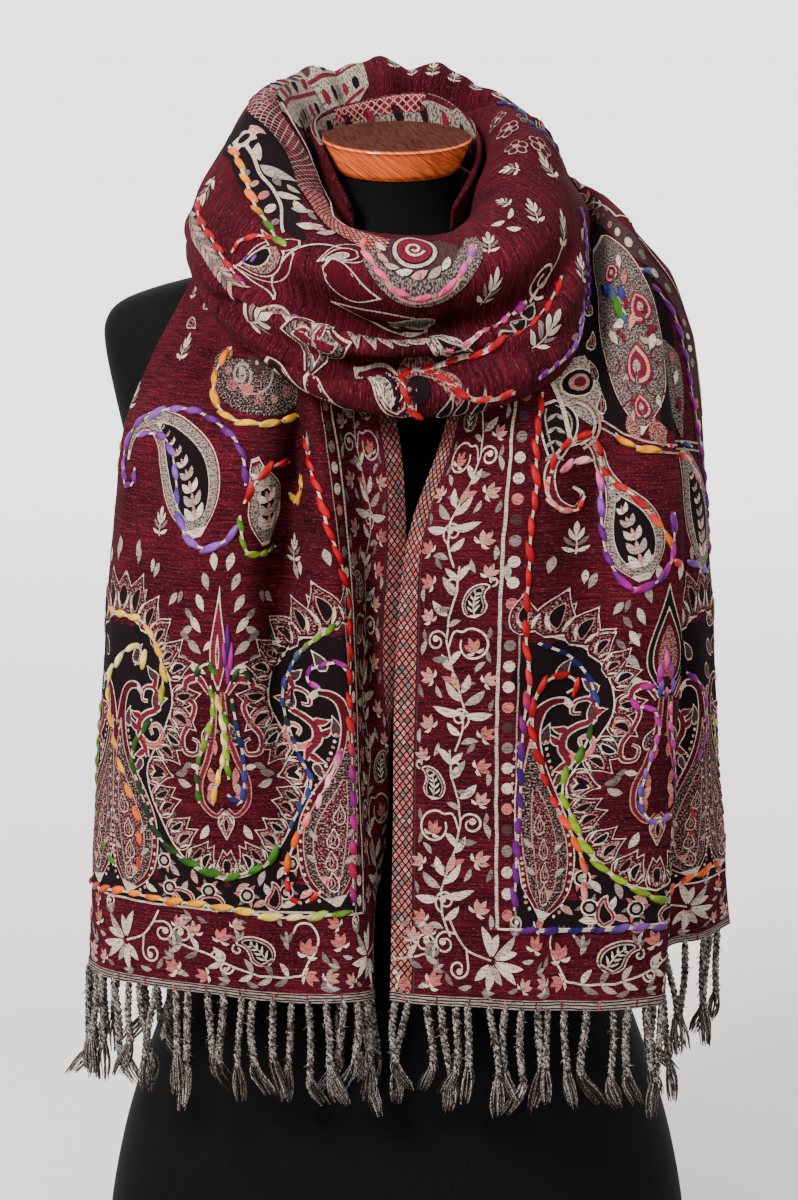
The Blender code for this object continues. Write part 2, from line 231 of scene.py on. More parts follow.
# posts: selvedge, trellis, vine, stitch, valley, crest, face, round, side, rear, tuck, end
leftEnd = {
    "sections": (
        (218, (-34, -104), (-27, -112), (-15, -128), (-27, -147, 219), (-62, -143, 217), (-84, -147, 220),
         (-118, -144, 224), (-155, -126, 224), (-186, -93, 222), (-192, -60, 222), (-173, -48, 224),
         (-141, -66, 224)),
        (330, (-14, -112), (-6, -121), (-16, -134), (-29, -153), (-64, -139), (-84, -147),
         (-118, -146), (-153, -128), (-180, -95), (-186, -61), (-168, -50), (-137, -69)),
        (440, (4, -137), (-8, -136), (-20, -125), (-33, -156), (-73, -130), (-91, -148),
         (-120, -147), (-150, -129), (-173, -98), (-178, -66), (-160, -57), (-134, -78)),
        (520, (5, -133), (-5, -134), (-19, -124), (-40, -153), (-67, -125), (-84, -144),
         (-113, -143), (-142, -126), (-165, -96), (-172, -66), (-156, -62), (-130, -84)),
        (565, (1, -125), (-9, -127), (-23, -117), (-46, -141), (-60, -118), (-75, -133),
         (-104, -129), (-136, -111), (-158, -86), (-166, -64), (-151, -66), (-126, -83)),
        (600, (-8, -106), (-17, -108), (-30, -101), (-51, -118), (-62, -104), (-75, -113),
         (-98, -107), (-124, -93), (-144, -74), (-153, -59), (-141, -62), (-120, -71)),
        (636, (-30, -71), (-36, -73), (-44, -71), (-60, -81), (-68, -74), (-78, -80),
         (-96, -75), (-113, -64), (-128, -51), (-136, -41, 634), (-126, -42, 632), (-108, -48, 633)),
        (668, (-52, -25, 689), (-55, -25, 687), (-59, -25, 684), (-67, -29, 681), (-73, -26, 677),
         (-80, -28, 677), (-92, -26, 673), (-104, -22, 669), (-115, -17, 665), (-121, -12, 660),
         (-111, -14, 660), (-98, -17, 664)),
        (666, (-53, 8, 689), (-56, 9, 687), (-60, 9, 684), (-67, 9, 680), (-72, 10, 677), (-78, 11, 675),
         (-88, 12, 671), (-98, 14, 668), (-108, 15, 666), (-115, 18, 661), (-105, 19, 659.5),
         (-92, 16, 663)),
    ),
    "across": (0, 13, 40, 84, 121, 143, 178, 219, 262, 292, 316, 350),
    "folds": (
        (-7.5, 7, (116, 150), (118, 230), (122, 300), (116, 360)), (2.5, 9, (98, 180), (100, 330)),
        (1.6, 14, (160, 230), (172, 380)), (-1.4, 16, (205, 60), (212, 300)),
        (-1.2, 12, (150, 20), (156, 150)), (1.6, 9, (96, 200), (92, 380)),
        (-1.8, 8, (188, 330), (150, 400)), (-2.0, 8, (230, 330), (190, 430)),
        (1.5, 10, (262, 180), (258, 420)), (-1.6, 9, (150, 380), (110, 440)),
    ),
    "step": 3.0,
}

# posts: selvedge, trellis, vine, stitch, trough, face, brow, edge, lap, turn, flap, outer
rightEnd = {
    "sections": (
        (216, (-4, -143, 219), (9, -146, 218), (44, -151, 217), (77, -152, 215), (101, -148, 214),
         (130, -145, 213), (152, -137, 213), (165, -123, 213), (157, -106, 225), (166, -94, 238),
         (190, -80, 241), (211, -51, 244)),
        (325, (-2, -143), (10, -147), (42, -152), (76, -154), (101, -149), (129, -146),
         (152, -138), (168, -122), (158, -104), (167, -91), (187, -79), (204, -51)),
        (430, (0, -144), (12, -148), (43, -152), (78, -154), (118, -140), (140, -143),
         (158, -137), (172, -121), (162, -103), (169, -89), (185, -77), (198, -49)),
        (510, (8.5, -141), (17, -144), (46, -148), (82, -151), (120, -134), (142, -138),
         (159, -132), (173, -116), (163, -98), (168, -86), (181, -73), (193, -45)),
        (560, (26.5, -131), (33.5, -134), (54, -138), (84, -140), (125, -116), (141, -122),
         (155, -119), (168, -105), (160, -88), (164, -78), (177, -65), (190, -39)),
        (600, (38, -112), (44, -114), (61, -118), (88, -118), (122, -92), (137, -102),
         (150, -101), (163, -89), (157, -73), (161, -63), (174, -49), (187, -29)),
        (634, (52, -80), (57, -82), (71, -85), (91, -84), (120, -58, 636), (134, -66, 645),
         (146, -66, 648), (157, -57, 646), (153, -46, 640), (158, -38, 638), (172, -28, 633),
         (183.6, -18.2, 620)),
        (664, (72, -42, 668), (76, -42, 668), (86, -42, 667), (100, -38, 665), (119, -24, 664),
         (131, -28, 680), (138, -26, 687), (146, -20, 684), (145, -13, 679), (149, -9, 676),
         (159, -2, 668), (171, 6, 655)),
        (690, (84, -8, 667), (88, -7, 667), (96, -6, 666), (107, -3, 664), (121, 2, 668), (126, 4, 687),
         (130, 9, 697), (135, 14, 697), (136, 19, 693), (139, 22, 690), (148, 29, 681), (160, 36, 662)),
        (695, (92, 22, 668), (94, 23, 668.5), (98, 24, 669), (105, 26, 670), (114, 28, 678), (120, 29, 691),
         (125, 31, 699), (130, 34, 701), (133, 38, 698), (137, 41, 694), (144, 46, 685), (153, 52, 667)),
        (700, (95, 40, 708), (96, 41, 711), (98, 42, 713), (101, 44, 713), (106, 47, 711), (111, 49, 709),
         (116, 51, 707), (122, 53, 702), (126, 55, 697), (130, 57, 691), (136, 60, 682), (143, 64, 668)),
        (710, (86.6, 44, 745), (88, 45, 747), (91, 46.5, 747.5), (94, 48, 743), (102, 53, 730),
         (107, 56, 716), (112.6, 59, 705), (116, 61, 693), (119, 63, 687), (123, 65, 681), (127, 67, 669),
         (124, 66, 659)),
    ),
    "across": (0, 13, 50, 84, 114, 140, 161, 181, 202, 218, 242, 276),
    "folds": (
        (-1.8, 12, (100, 120), (112, 330)), (-2.4, 10, (128, 250), (124, 400)),
        (1.2, 18, (60, 60), (58, 300)), (-1.5, 11, (146, 40), (150, 260)), (2.4, 9, (104, 330), (96, 430)),
        (-2.2, 8, (152, 330), (146, 440)), (-1.6, 9, (70, 380), (76, 470)),
        (1.6, 8, (214, 300), (190, 420)),
    ),
    "step": 3.0,
}

# posts: inside, lip, top, crest1, crease1, crest2, crease2, crest3, foot, under;
# each is a radius and a height at an angle round the neck
loop = {
    "sections": (
        (-240, (100, 745), (104, 748), (108, 744), (118, 730), (124, 716), (130, 705),
         (134, 693), (142, 681), (147, 669), (144, 659)),
        (-218, (78, 748), (84, 765), (93, 768), (112, 740), (118, 716), (129, 696),
         (130, 676), (140, 656), (142, 634), (134, 638)),
        (-180, (64, 745), (70, 776), (82, 783), (112, 754), (106, 722), (129, 696),
         (119, 668), (139, 640), (134, 602), (125, 606)),
        (-152, (60, 726), (66, 762), (82, 780), (116, 744), (112, 710), (132, 688),
         (123, 662), (135, 640), (129, 612), (121, 616)),
        (-130, (58, 715), (61, 752), (80, 774), (116, 730), (119, 700), (132, 682),
         (124, 662), (129, 644), (124, 625.5), (116, 629.5)),
        (-112, (58, 708), (60, 748), (79, 771), (117, 722), (125, 696), (131, 684),
         (127, 673), (129, 663), (124.5, 652), (116.3, 655.2)),
        (-95, (58, 705), (59, 744), (79, 767), (115, 718), (127, 695), (130, 686),
         (128, 681), (129, 675), (125.5, 666), (117.3, 668.2)),
        (-70, (56, 694), (58, 726), (86, 744), (127, 706), (135, 684), (138, 675),
         (136, 669), (137, 664), (132, 655), (124, 658)),
        (-45, (58, 682), (61, 700), (90, 708), (137, 685), (142, 660), (153, 652),
         (148, 643), (151, 637), (145, 627), (137, 632)),
        (-22, (67, 668), (73, 684), (96, 688), (133, 667), (127, 640), (152, 631),
         (144, 616), (158, 608), (152, 595), (144, 601)),
        (0, (70, 664), (76, 679), (99, 681), (133, 655), (123, 625), (151, 616),
         (143, 604), (160, 594), (154, 580), (146, 587)),
        (22, (69, 665), (75, 680), (98, 684), (135, 661), (128, 634), (152, 622),
         (148, 609), (162, 598), (156, 584), (148, 591)),
        (42, (62, 676), (71, 694), (92, 702), (134, 682), (138, 655), (152, 640),
         (150, 626), (156, 615), (151, 603), (143, 609)),
        (62, (57, 694), (60, 716), (80, 731), (115, 710), (125, 687), (131, 670),
         (131, 658), (132, 650), (128, 640), (120, 645)),
        (88, (57, 706), (59, 736), (73, 751), (99, 730), (110, 709), (115, 698),
         (115, 690), (116, 684), (113, 677), (106, 680)),
        (112, (57, 710), (59, 742), (69, 757), (86, 742), (93, 722), (96, 708),
         (96, 698), (97, 690), (94, 682), (88, 684)),
        (140, (58, 712), (59, 736), (61, 748), (64, 744), (65, 730), (66, 718),
         (66, 708), (66, 700), (65, 694), (62, 695)),
    ),
    "seam": -130,
    "step": 3.0,
    # the two deep creases between the rolls, the fullness over them, and softer dents round the sides
    "folds": (
        (-13.5, 5.4, (150, 172), (135, 201), (125, 222), (121, 255), (120, 300), (120, 344), (121, 366),
         (120, 412)),
        (4.6, 13, (108, 190), (100, 240), (98, 290), (98, 340), (100, 400)),
        (-12.5, 5.2, (170, 198), (157, 241), (149, 264), (145, 285), (143, 308), (137, 332), (130, 354),
         (124, 384)),
        (3.6, 6, (142, 215), (138, 250), (134, 290), (130, 320)),
        (4.2, 8, (166, 230), (161, 270), (158, 310), (153, 350), (146, 400)),
        (-2.4, 9, (70, 120), (96, 170), (128, 196)), (-2.0, 8, (52, 380), (84, 440), (120, 480)),
        (2.0, 8, (80, 90), (118, 140), (150, 170)), (-1.8, 9, (150, 60), (140, 130)),
        (-2.2, 10, (30, 430), (90, 520)),
    ),
    "backFolds": (
        (4.0, 8, (2, 128), (40, 140), (90, 150)), (-5.0, 9, (2, 108), (44, 116), (96, 128)),
        (3.0, 8, (2, 88), (50, 92), (100, 100)), (-4.0, 9, (2, 188), (40, 180), (90, 176)),
        (3.0, 9, (2, 208), (60, 204)), (-3.0, 8, (10, 54), (70, 60), (120, 76)),
        (-3.0, 12, (110, 40), (128, 110), (122, 190)),
    ),
}

# posts: foot, wall, rim, roll, drop
backInner = {
    "sections": (
        (-318, (50, 683), (50.5, 688), (51, 694), (52, 697), (54, 695)),
        (-290, (47, 690), (49.5, 703), (50.5, 716), (51.5, 721), (53.5, 718)),
        (-250, (47, 692), (50, 716), (51, 738), (52, 744), (53.5, 741)),
        (-200, (50, 696), (51.5, 724), (53.5, 757), (57, 764), (61, 760)),
        (-150, (50, 696), (51.5, 722), (53.5, 752), (56, 758), (58.5, 755)),
        (-100, (49, 694), (50, 716), (51, 742), (52.5, 748), (54, 745)),
        (-60, (48, 690), (48.5, 704), (49, 720), (50.5, 728), (53, 724)),
        (-32, (50, 684), (51, 688), (52, 693), (53.5, 697), (55.5, 695)),
    ),
    "step": 2.5,
}

loopPoints = ringPoints(loop["sections"])
seamRow = [row[0] for row in loop["sections"]].index(loop["seam"])

cloths = {
    "leftEnd": Cloth(levelPoints(leftEnd["sections"]), leftEnd["across"], leftEnd["step"], -1,
                     leftEnd["folds"], ripple=0.5, seed=3),
    "rightEnd": Cloth(levelPoints(rightEnd["sections"]), rightEnd["across"], rightEnd["step"], 1,
                      rightEnd["folds"], ripple=0.45, seed=8),
    "frontLoop": Cloth(loopPoints[seamRow:], None, loop["step"], 1, loop["folds"], ripple=0.8, seed=5,
                       lane=2.0, lift=0.42),
    "backOuter": Cloth(loopPoints[: seamRow + 1], None, loop["step"], 1, loop["backFolds"],
                       ripple=0.8, seed=6),
    "backInner": Cloth(ringPoints(backInner["sections"]), None, backInner["step"], 1, ripple=0.2, seed=7),
}
print("cloth sampled", {name: (round(cloth.width), round(cloth.length)) for name, cloth in cloths.items()})


class Wire:
    # a shader socket that Python arithmetic can use: each step adds a Math node
    def __init__(self, maker, socket):
        self.maker, self.socket = maker, socket

    def calc(self, operation, a, b=0.0):
        return self.maker.node("ShaderNodeMath", {"operation": operation}, {0: a, 1: b})

    def __add__(self, other):
        return self.calc("ADD", self, other)

    def __radd__(self, other):
        return self.calc("ADD", other, self)

    def __sub__(self, other):
        return self.calc("SUBTRACT", self, other)

    def __rsub__(self, other):
        return self.calc("SUBTRACT", other, self)

    def __mul__(self, other):
        return self.calc("MULTIPLY", self, other)

    def __rmul__(self, other):
        return self.calc("MULTIPLY", other, self)

    def __truediv__(self, other):
        return self.calc("DIVIDE", self, other)

    def __neg__(self):
        return self * -1.0

    def sine(self):
        return self.calc("SINE", self)

    def between(self, low, high):
        # 0 at low, 1 at high, a straight ramp between
        share = (self - low) / (high - low)
        return self.calc("MINIMUM", self.calc("MAXIMUM", share, 0.0), 1.0)


class Maker:
    # adds nodes to a tree: settings first, then the values or links of the sockets
    def node(self, kind, settings=(), sockets=(), out=0):
        made = self.tree.nodes.new(kind)
        for key, value in dict(settings).items():
            if key == "stops":
                while len(made.color_ramp.elements) < len(value):
                    made.color_ramp.elements.new(0.5)
                for stop, (place, colour) in zip(made.color_ramp.elements, value):
                    stop.position, stop.color = place, (*colour, 1)
            else:
                setattr(made, key, value)
        for key, value in dict(sockets).items():
            self.feed(made.inputs[key], value)
        return Wire(self, made.outputs[out])

    def feed(self, socket, value):
        if isinstance(value, Wire):
            self.tree.links.new(value.socket, socket)
        elif isinstance(value, tuple) and socket.type == "RGBA":
            socket.default_value = (*value, 1)
        else:
            socket.default_value = value


class Finish(Maker):
    # one material and the nodes in it
    def __init__(self, name, **constants):
        self.material = bpy.data.materials.new(name)
        self.material.use_nodes = True
        self.tree = self.material.node_tree
        self.shader = self.tree.nodes["Principled BSDF"]
        for socket, value in constants.items():
            self.shader.inputs[socket.replace("_", " ")].default_value = value

    def mix(self, share, a, b):
        return self.node("ShaderNodeMix", {"data_type": "RGBA"}, {0: share, 6: a, 7: b}, 2)

    def vector(self, operation, *values):
        return self.node("ShaderNodeVectorMath", {"operation": operation}, dict(enumerate(values)))

    def dim(self, colour, share):
        return self.node("ShaderNodeVectorMath", {"operation": "SCALE"}, {0: colour, "Scale": share})

    def ramp(self, value, *stops):
        return self.node("ShaderNodeValToRGB", {"stops": stops}, {0: value})

    def scaled(self, spot, scale, turn=(0.0, 0.0, 0.0)):
        return self.node("ShaderNodeMapping", {}, {0: spot, 2: turn, 3: scale})

    def flat(self, scale=(1.0, 1.0, 1.0)):
        # the piece's own flat places, in metres
        return self.scaled(self.node("ShaderNodeUVMap", {"uv_map": "flat"}), scale)

    def place(self, scale=(1.0, 1.0, 1.0)):
        return self.scaled(self.node("ShaderNodeTexCoord", {}, {}, 3), scale)

    def axis(self, spot, number):
        return self.node("ShaderNodeSeparateXYZ", {}, {0: spot}, number)

    def noise(self, spot, detail=2.0, rough=0.5):
        return self.node("ShaderNodeTexNoise", {},
                         {"Vector": spot, "Scale": 1.0, "Detail": detail, "Roughness": rough})

    def dyed(self, out=0, name="dye"):
        # the piece's own painted colour; out 3 is how mottled it is
        return self.node("ShaderNodeAttribute", {"attribute_name": name}, {}, out)

    def use(self, bump=None, depth=0.0005, strength=1.0, **links):
        for socket, value in links.items():
            self.feed(self.shader.inputs[socket.replace("_", " ")], value)
        if bump is not None:
            normal = self.node("ShaderNodeBump", {},
                               {"Height": bump, "Distance": depth, "Strength": strength})
            self.feed(self.shader.inputs["Normal"], normal)
        return self.material


# how often each grain repeats in a metre: across and along the cloth, or in x, y and z
grains = {
    "ribs": (90.0, 1150.0, 1.0), "fluff": (700.0, 900.0, 1.0), "streak": (45.0, 900.0, 1.0),
    "patch": (14.0, 22.0, 1.0), "speck": (420.0, 1300.0, 1.0), "floats": (160.0, 1100.0, 1.0),
    "hair": (900.0, 900.0, 1.0), "fleck": (720.0, 900.0, 1.0), "twist": (2.6, 7.0, 1.0),
    "stitch": (60.0,) * 3,
    "stitchFluff": (2200.0,) * 3, "fringeFluff": (1500.0,) * 3, "strand": (1900.0, 1900.0, 620.0),
    "knit": (900.0, 900.0, 1700.0), "jerseyPatch": (6.0,) * 3, "wood": (36.0, 80.0, 840.0),
    "pore": (2.0, 5.0, 3.0),
    "floor": (0.8,) * 3,
}
shades = {
    "wool": ((0.30, (0.0022, 0.0004, 0.0007)), (0.45, (0.0125, 0.0008, 0.0019)),
             (0.58, (0.029, 0.0017, 0.0042)), (0.72, (0.055, 0.0052, 0.0094))),
    # gap is painted shade between the fringe's strands
    "speck": (0.075, 0.022, 0.028), "ground": (0.012, 0.0012, 0.003), "gap": (0.0045, 0.0036, 0.0038),
    "jersey": ((0.35, (0.0005, 0.0005, 0.0006)), (0.65, (0.0019, 0.0018, 0.0020))),
    "wood": ((0.30, (0.115, 0.0145, 0.0050)), (0.44, (0.26, 0.041, 0.0115)), (0.58, (0.42, 0.080, 0.0190)),
             (0.75, (0.56, 0.150, 0.036))),
    # the cap top's colour, darkened as painted shade
    "woodTopShade": ((0.30, (0.013, 0.0042, 0.0032)), (0.75, (0.045, 0.0150, 0.0110))),
    "floorFar": ((0.2, (0.90, 0.895, 0.90)), (0.8, (0.94, 0.935, 0.94))),
    # the floor near the form, darkened as painted shade
    "floorShadeNear": ((0.2, (0.37, 0.345, 0.34)), (0.8, (0.41, 0.385, 0.38))),
}


def weaveHeight(f):
    # weft ribs that run across the cloth, broken up by the yarn's own unevenness
    ribs = f.noise(f.flat(grains["ribs"]), 2.0, 0.6)
    fluff = f.noise(f.flat(grains["fluff"]), 3.0, 0.65)
    return ribs * 0.65 + fluff * 0.35


def groundWool():
    f = Finish("heatherWool", Roughness=0.95, Specular_IOR_Level=0.03)
    height = weaveHeight(f)
    streak = f.noise(f.flat(grains["streak"]), 2.0, 0.6)
    patch = f.noise(f.flat(grains["patch"]))
    speck = f.noise(f.flat(grains["speck"]), 1.0)
    colour = f.ramp(streak * 0.72 + patch * 0.28, *shades["wool"])
    colour = f.mix(speck.between(0.60, 0.74) * 0.55, colour, shades["speck"])
    return f.use(bump=height, depth=0.0006, strength=0.8, Base_Color=colour)


def figureWool():
    f = Finish("figureWool", Roughness=0.95, Specular_IOR_Level=0.03)
    height = weaveHeight(f)
    streak = f.noise(f.flat(grains["floats"]), 2.0, 0.65)
    grain = f.noise(f.flat(grains["hair"]), 2.0, 0.7)
    fleck = f.noise(f.flat(grains["fleck"]), 1.0)
    mottled = f.mix(fleck.between(0.52, 0.64), f.dim(f.dyed(), 0.85), f.dim(yarns["stone"], 0.8))
    mottled = f.mix(fleck.between(0.52, 0.42), mottled, f.dim(f.dyed(), 0.16))
    dye = f.mix(f.dyed(3), f.dyed(), mottled)
    # dark ground shows between the floats of the yarn
    dark = f.mix(0.4, f.dim(dye, 0.34), shades["ground"])
    light = f.dim(dye, 1.18)
    shade = streak * 0.55 + grain * 0.45
    colour = f.mix(shade.between(0.38, 0.53), dark, light)
    return f.use(bump=height + grain * 0.4, depth=0.0009, strength=0.9, Base_Color=colour)


def stitchYarn():
    # the flat map's x runs along a stitch and its y round it, so the fibres follow the yarn's loose twist
    f = Finish("stitchYarn", Roughness=0.45, Specular_IOR_Level=0.07)
    fibre = f.noise(f.vector("ADD", f.flat(grains["twist"]), f.place(grains["stitch"])), 3.0, 0.65)
    lengthways = f.axis(f.flat(), 0)
    about = f.axis(f.flat(), 1)
    ply = ((lengthways * 1.3 + about * 2.0) * (math.pi * 2)).sine() * 0.5 + 0.5
    fluff = f.noise(f.place(grains["stitchFluff"]), 2.0, 0.6)
    dye = f.mix(lengthways.between(0.25, 0.95), f.dyed(), f.dyed(0, "dyeOn"))
    # painted shade darkens the grooves between the plies, together with darker fibres
    grooveShade = ply.between(0.0, 0.35) * 0.6 + fibre.between(0.36, 0.52) * 0.4
    colour = f.mix(grooveShade, f.dim(dye, 0.42), dye)
    # the lighter fibres are brightened: partly lighter strands, partly a painted highlight
    colour = f.mix(fibre.between(0.58, 0.76) * 0.5, colour, f.dim(dye, 1.7))
    return f.use(bump=ply * 0.55 + fibre * 0.5 + fluff * 0.2, depth=0.0011, strength=0.8, Base_Color=colour)


def fringeMarl():
    f = Finish("fringeMarl", Roughness=0.92, Specular_IOR_Level=0.05)
    fluff = f.noise(f.place(grains["fringeFluff"]), 3.0, 0.7)
    strand = f.noise(f.place(grains["strand"]), 2.0, 0.6)
    colour = f.mix(fluff.between(0.36, 0.60), f.dim(f.dyed(), 0.45), f.dyed())
    # painted shade: dark streaks for the gaps between the strands
    colour = f.mix(strand.between(0.53, 0.46), colour, shades["gap"])
    return f.use(bump=fluff, depth=0.0006, strength=0.7, Base_Color=colour)


def formJersey():
    f = Finish("formJersey", Roughness=0.85, Specular_IOR_Level=0.035)
    knit = f.noise(f.place(grains["knit"]))
    patch = f.noise(f.place(grains["jerseyPatch"]), 3.0)
    colour = f.ramp(knit * 0.7 + patch * 0.3, *shades["jersey"])
    return f.use(bump=knit, depth=0.0003, strength=0.5, Base_Color=colour, Roughness=patch * 0.25 + 0.66)


def capWood():
    f = Finish("capWood", Coat_Roughness=0.14, Specular_IOR_Level=0.0)
    slant = (0.0, -0.64, 0.0)
    turned = f.scaled(f.scaled(f.place(), (1.0, 1.0, 1.0), slant), grains["wood"])
    grain = f.noise(turned, 3.0, 0.55)
    pore = f.noise(f.scaled(turned, grains["pore"]))
    shade = grain * 0.75 + pore * 0.25
    colour = f.ramp(shade, *shades["wood"])
    # painted shade: the flat top is painted dark for the shade the shawl behind casts on it, and left dull
    # without a coat
    top = f.axis(f.flat(), 1).between(0.0, 1.0)
    colour = f.mix(top, colour, f.ramp(shade, *shades["woodTopShade"]))
    return f.use(bump=shade, depth=0.0002, strength=0.25, Base_Color=colour,
                 Roughness=0.28 + pore * 0.14 + top * 0.25, Coat_Weight=0.42 - top * 0.42)


def floorPaint():
    # painted shade: darker close to the form, where the light falls fullest
    f = Finish("studioFloor", Roughness=0.9, Specular_IOR_Level=0.05)
    patch = f.noise(f.place(grains["floor"]))
    away = f.axis(f.place(), 1)
    far = f.ramp(patch, *shades["floorFar"])
    near = f.ramp(patch, *shades["floorShadeNear"])
    return f.use(Base_Color=f.mix(away.between(0.6, 4.5), near, far))


finishes = {
    "wool": groundWool(),
    "figure": figureWool(),
    "stitch": stitchYarn(),
    "fringe": fringeMarl(),
    "jersey": formJersey(),
    "cap": capWood(),
}
print("finishes made")


def makeMesh(name, points, faces, finish, flat=None, dyes=None):
    # flat is a place in mm for each point; dyes is a colour for each face
    mesh = bpy.data.meshes.new(name)
    mesh.from_pydata(np.asarray(points, float).reshape(-1, 3).tolist(), [], faces)
    corners = np.empty(len(mesh.loops), np.int32)
    mesh.loops.foreach_get("vertex_index", corners)
    if flat is not None:
        layer = mesh.uv_layers.new(name="flat")
        layer.data.foreach_set("uv", (np.asarray(flat, float)[corners] * mm).ravel())
    if dyes is not None:
        sizes = np.empty(len(mesh.polygons), np.int32)
        mesh.polygons.foreach_get("loop_total", sizes)
        paint = mesh.color_attributes.new("dye", "FLOAT_COLOR", "CORNER")
        paint.data.foreach_set("color", np.repeat(np.asarray(dyes, float), sizes, axis=0).ravel())
    mesh.shade_smooth()
    mesh.materials.append(finish)
    made = bpy.data.objects.new(name, mesh)
    scene.collection.objects.link(made)
    return made


def fit(piece, node=None):
    # every piece rides on the one body, and may stand in for a solid
    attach(piece, "root")
    if node:
        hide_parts(node)


def gridFaces(rows, columns, start=0, flip=False):
    i, j = np.meshgrid(np.arange(rows - 1), np.arange(columns - 1), indexing="ij")
    a = (start + i * columns + j).ravel()
    quads = np.stack([a, a + 1, a + columns + 1, a + columns], axis=1)
    return quads[:, ::-1] if flip else quads


def ringFaces(rows, around):
    i, j = np.meshgrid(np.arange(rows - 1), np.arange(around), indexing="ij")
    a, b = (i * around + j).ravel(), (i * around + (j + 1) % around).ravel()
    return np.stack([a, b, b + around, a + around], axis=1).tolist()


# thickness in mm; each stretch's offset keeps the weave from repeating, as does its other face's
shells = {"thickness": 1.6, "otherFace": 1000, "offsets": (0, 500, 900, 1300, 1700)}
halfCloth = shells["thickness"] / 2


def clothShell(name, cloth, offset):
    # both faces of the cloth and its four edges, closed
    rows, columns = cloth.grid.shape[:2]
    raised = cloth.normal * halfCloth * mm
    sides = np.concatenate([(cloth.grid + raised).reshape(-1, 3), (cloth.grid - raised).reshape(-1, 3)])
    flip = cloth.side < 0
    count = rows * columns
    faces = [gridFaces(rows, columns, 0, flip), gridFaces(rows, columns, count, not flip)]
    index = np.arange(count).reshape(rows, columns)
    rim = np.concatenate([index[0, :], index[1:, -1], index[-1, -2::-1], index[-2:0:-1, 0]])
    after = np.roll(rim, -1)
    edge = np.stack([rim, rim + count, after + count, after], axis=1)
    faces.append(edge[:, ::-1] if flip else edge)
    uu, vv = np.meshgrid(cloth.u + offset, cloth.v)
    flat = np.stack([uu.ravel(), vv.ravel()], axis=1)
    return makeMesh(name, sides, np.concatenate(faces).tolist(), finishes["wool"],
                    np.concatenate([flat, flat + (shells["otherFace"], 0)]))


shellOf = {"leftEnd": "shawl_left_end", "rightEnd": "shawl_right_end", "frontLoop": "shawl_front_loop",
           "backOuter": "shawl_back_outer", "backInner": "shawl_back_inner"}
shellPieces = {}
for (name, node), offset in zip(shellOf.items(), shells["offsets"]):
    shellPieces[name] = clothShell("cloth_" + name, cloths[name], offset)
    fit(shellPieces[name], node)
print("shells laid", sum(len(piece.data.polygons) for piece in shellPieces.values()))


form = {
    # height, half width, front depth, back depth, and how square the plan is
    "sections": (
        (0, 188, 112, 121, 2.3), (45, 187, 112, 123, 2.3), (95, 178, 110, 121, 2.3),
        (140, 165, 105, 115, 2.2), (190, 147, 97, 103, 2.2), (240, 128, 89, 91, 2.1),
        (278, 121, 86, 84, 2.1), (325, 126, 92, 87, 2.1), (385, 139, 103, 95, 2.1),
        (445, 151, 112, 103, 2.2), (495, 160, 112, 108, 2.3), (540, 170, 103, 109, 2.4),
        (580, 179, 88, 103, 2.5), (606, 184, 72, 92, 2.6), (623, 184, 58, 78, 2.6),
        (635, 175, 47, 66, 2.5), (644, 153, 42, 58, 2.4), (652, 123, 41, 52, 2.3), (661, 92, 42, 49, 2.2),
        (672, 64, 42, 46, 2.1), (688, 46, 40, 42, 2.0), (704, 40, 38.5, 39, 2.0),
        (718, 38.5, 38.5, 38.5, 2.0),
    ),
    "around": 128, "neckY": -6, "lean": 10, "leanFrom": 672, "baseRound": 3, "baseInset": 0.8,
    # rows of the mesh: evenly up to the shoulders, then closer up the neck
    "shoulders": (600, 606), "rows": (60, 44), "crease": 50,
}


def formTorso():
    table = np.array(form["sections"], float)
    heights, order = table[:, 0], np.arange(len(table))
    low, high = form["shoulders"]
    levels = np.concatenate([np.linspace(form["baseRound"], low, form["rows"][0]),
                             np.linspace(high, heights[-1], form["rows"][1])])
    rows = curveThrough(table, order, np.interp(levels, heights, order))
    foot = rows[:1].copy()
    foot[0, 0], foot[0, 1:4] = 0, foot[0, 1:4] - form["baseRound"] * form["baseInset"]
    rows = np.concatenate([foot, rows])
    turn = np.linspace(0, 2 * math.pi, form["around"], endpoint=False)
    c, s = np.cos(turn), np.sin(turn)
    power = 2 / rows[:, 4:5]
    x = rows[:, 1:2] * np.sign(c) * np.abs(c) ** power
    y = np.where(s > 0, rows[:, 3:4], rows[:, 2:3]) * np.sign(s) * np.abs(s) ** power
    z = np.repeat(rows[:, 0:1], len(turn), axis=1)
    lean = np.clip((z - form["leanFrom"]) / (heights[-1] - form["leanFrom"]), 0, 1)
    y = y + lean * form["neckY"]
    z = z + lean * (y - form["neckY"]) * math.tan(math.radians(form["lean"]))
    around, count = form["around"], len(rows)
    faces = ringFaces(count, around)
    faces += [tuple(range(around))[::-1], tuple(range((count - 1) * around, count * around))]
    made = makeMesh("form_body", np.stack([x, y, z], axis=2) * mm, faces, finishes["jersey"])
    made.data.set_sharp_from_angle(angle=math.radians(form["crease"]))
    return made


cap = {"foot": 718.3, "height": 21.5, "footRadius": 38.5, "topRadius": 47.0, "round": 2.2, "crown": 0.3,
       "around": 128, "bulge": 0.9, "topRows": 5, "weld": 1e-6, "crease": 60}


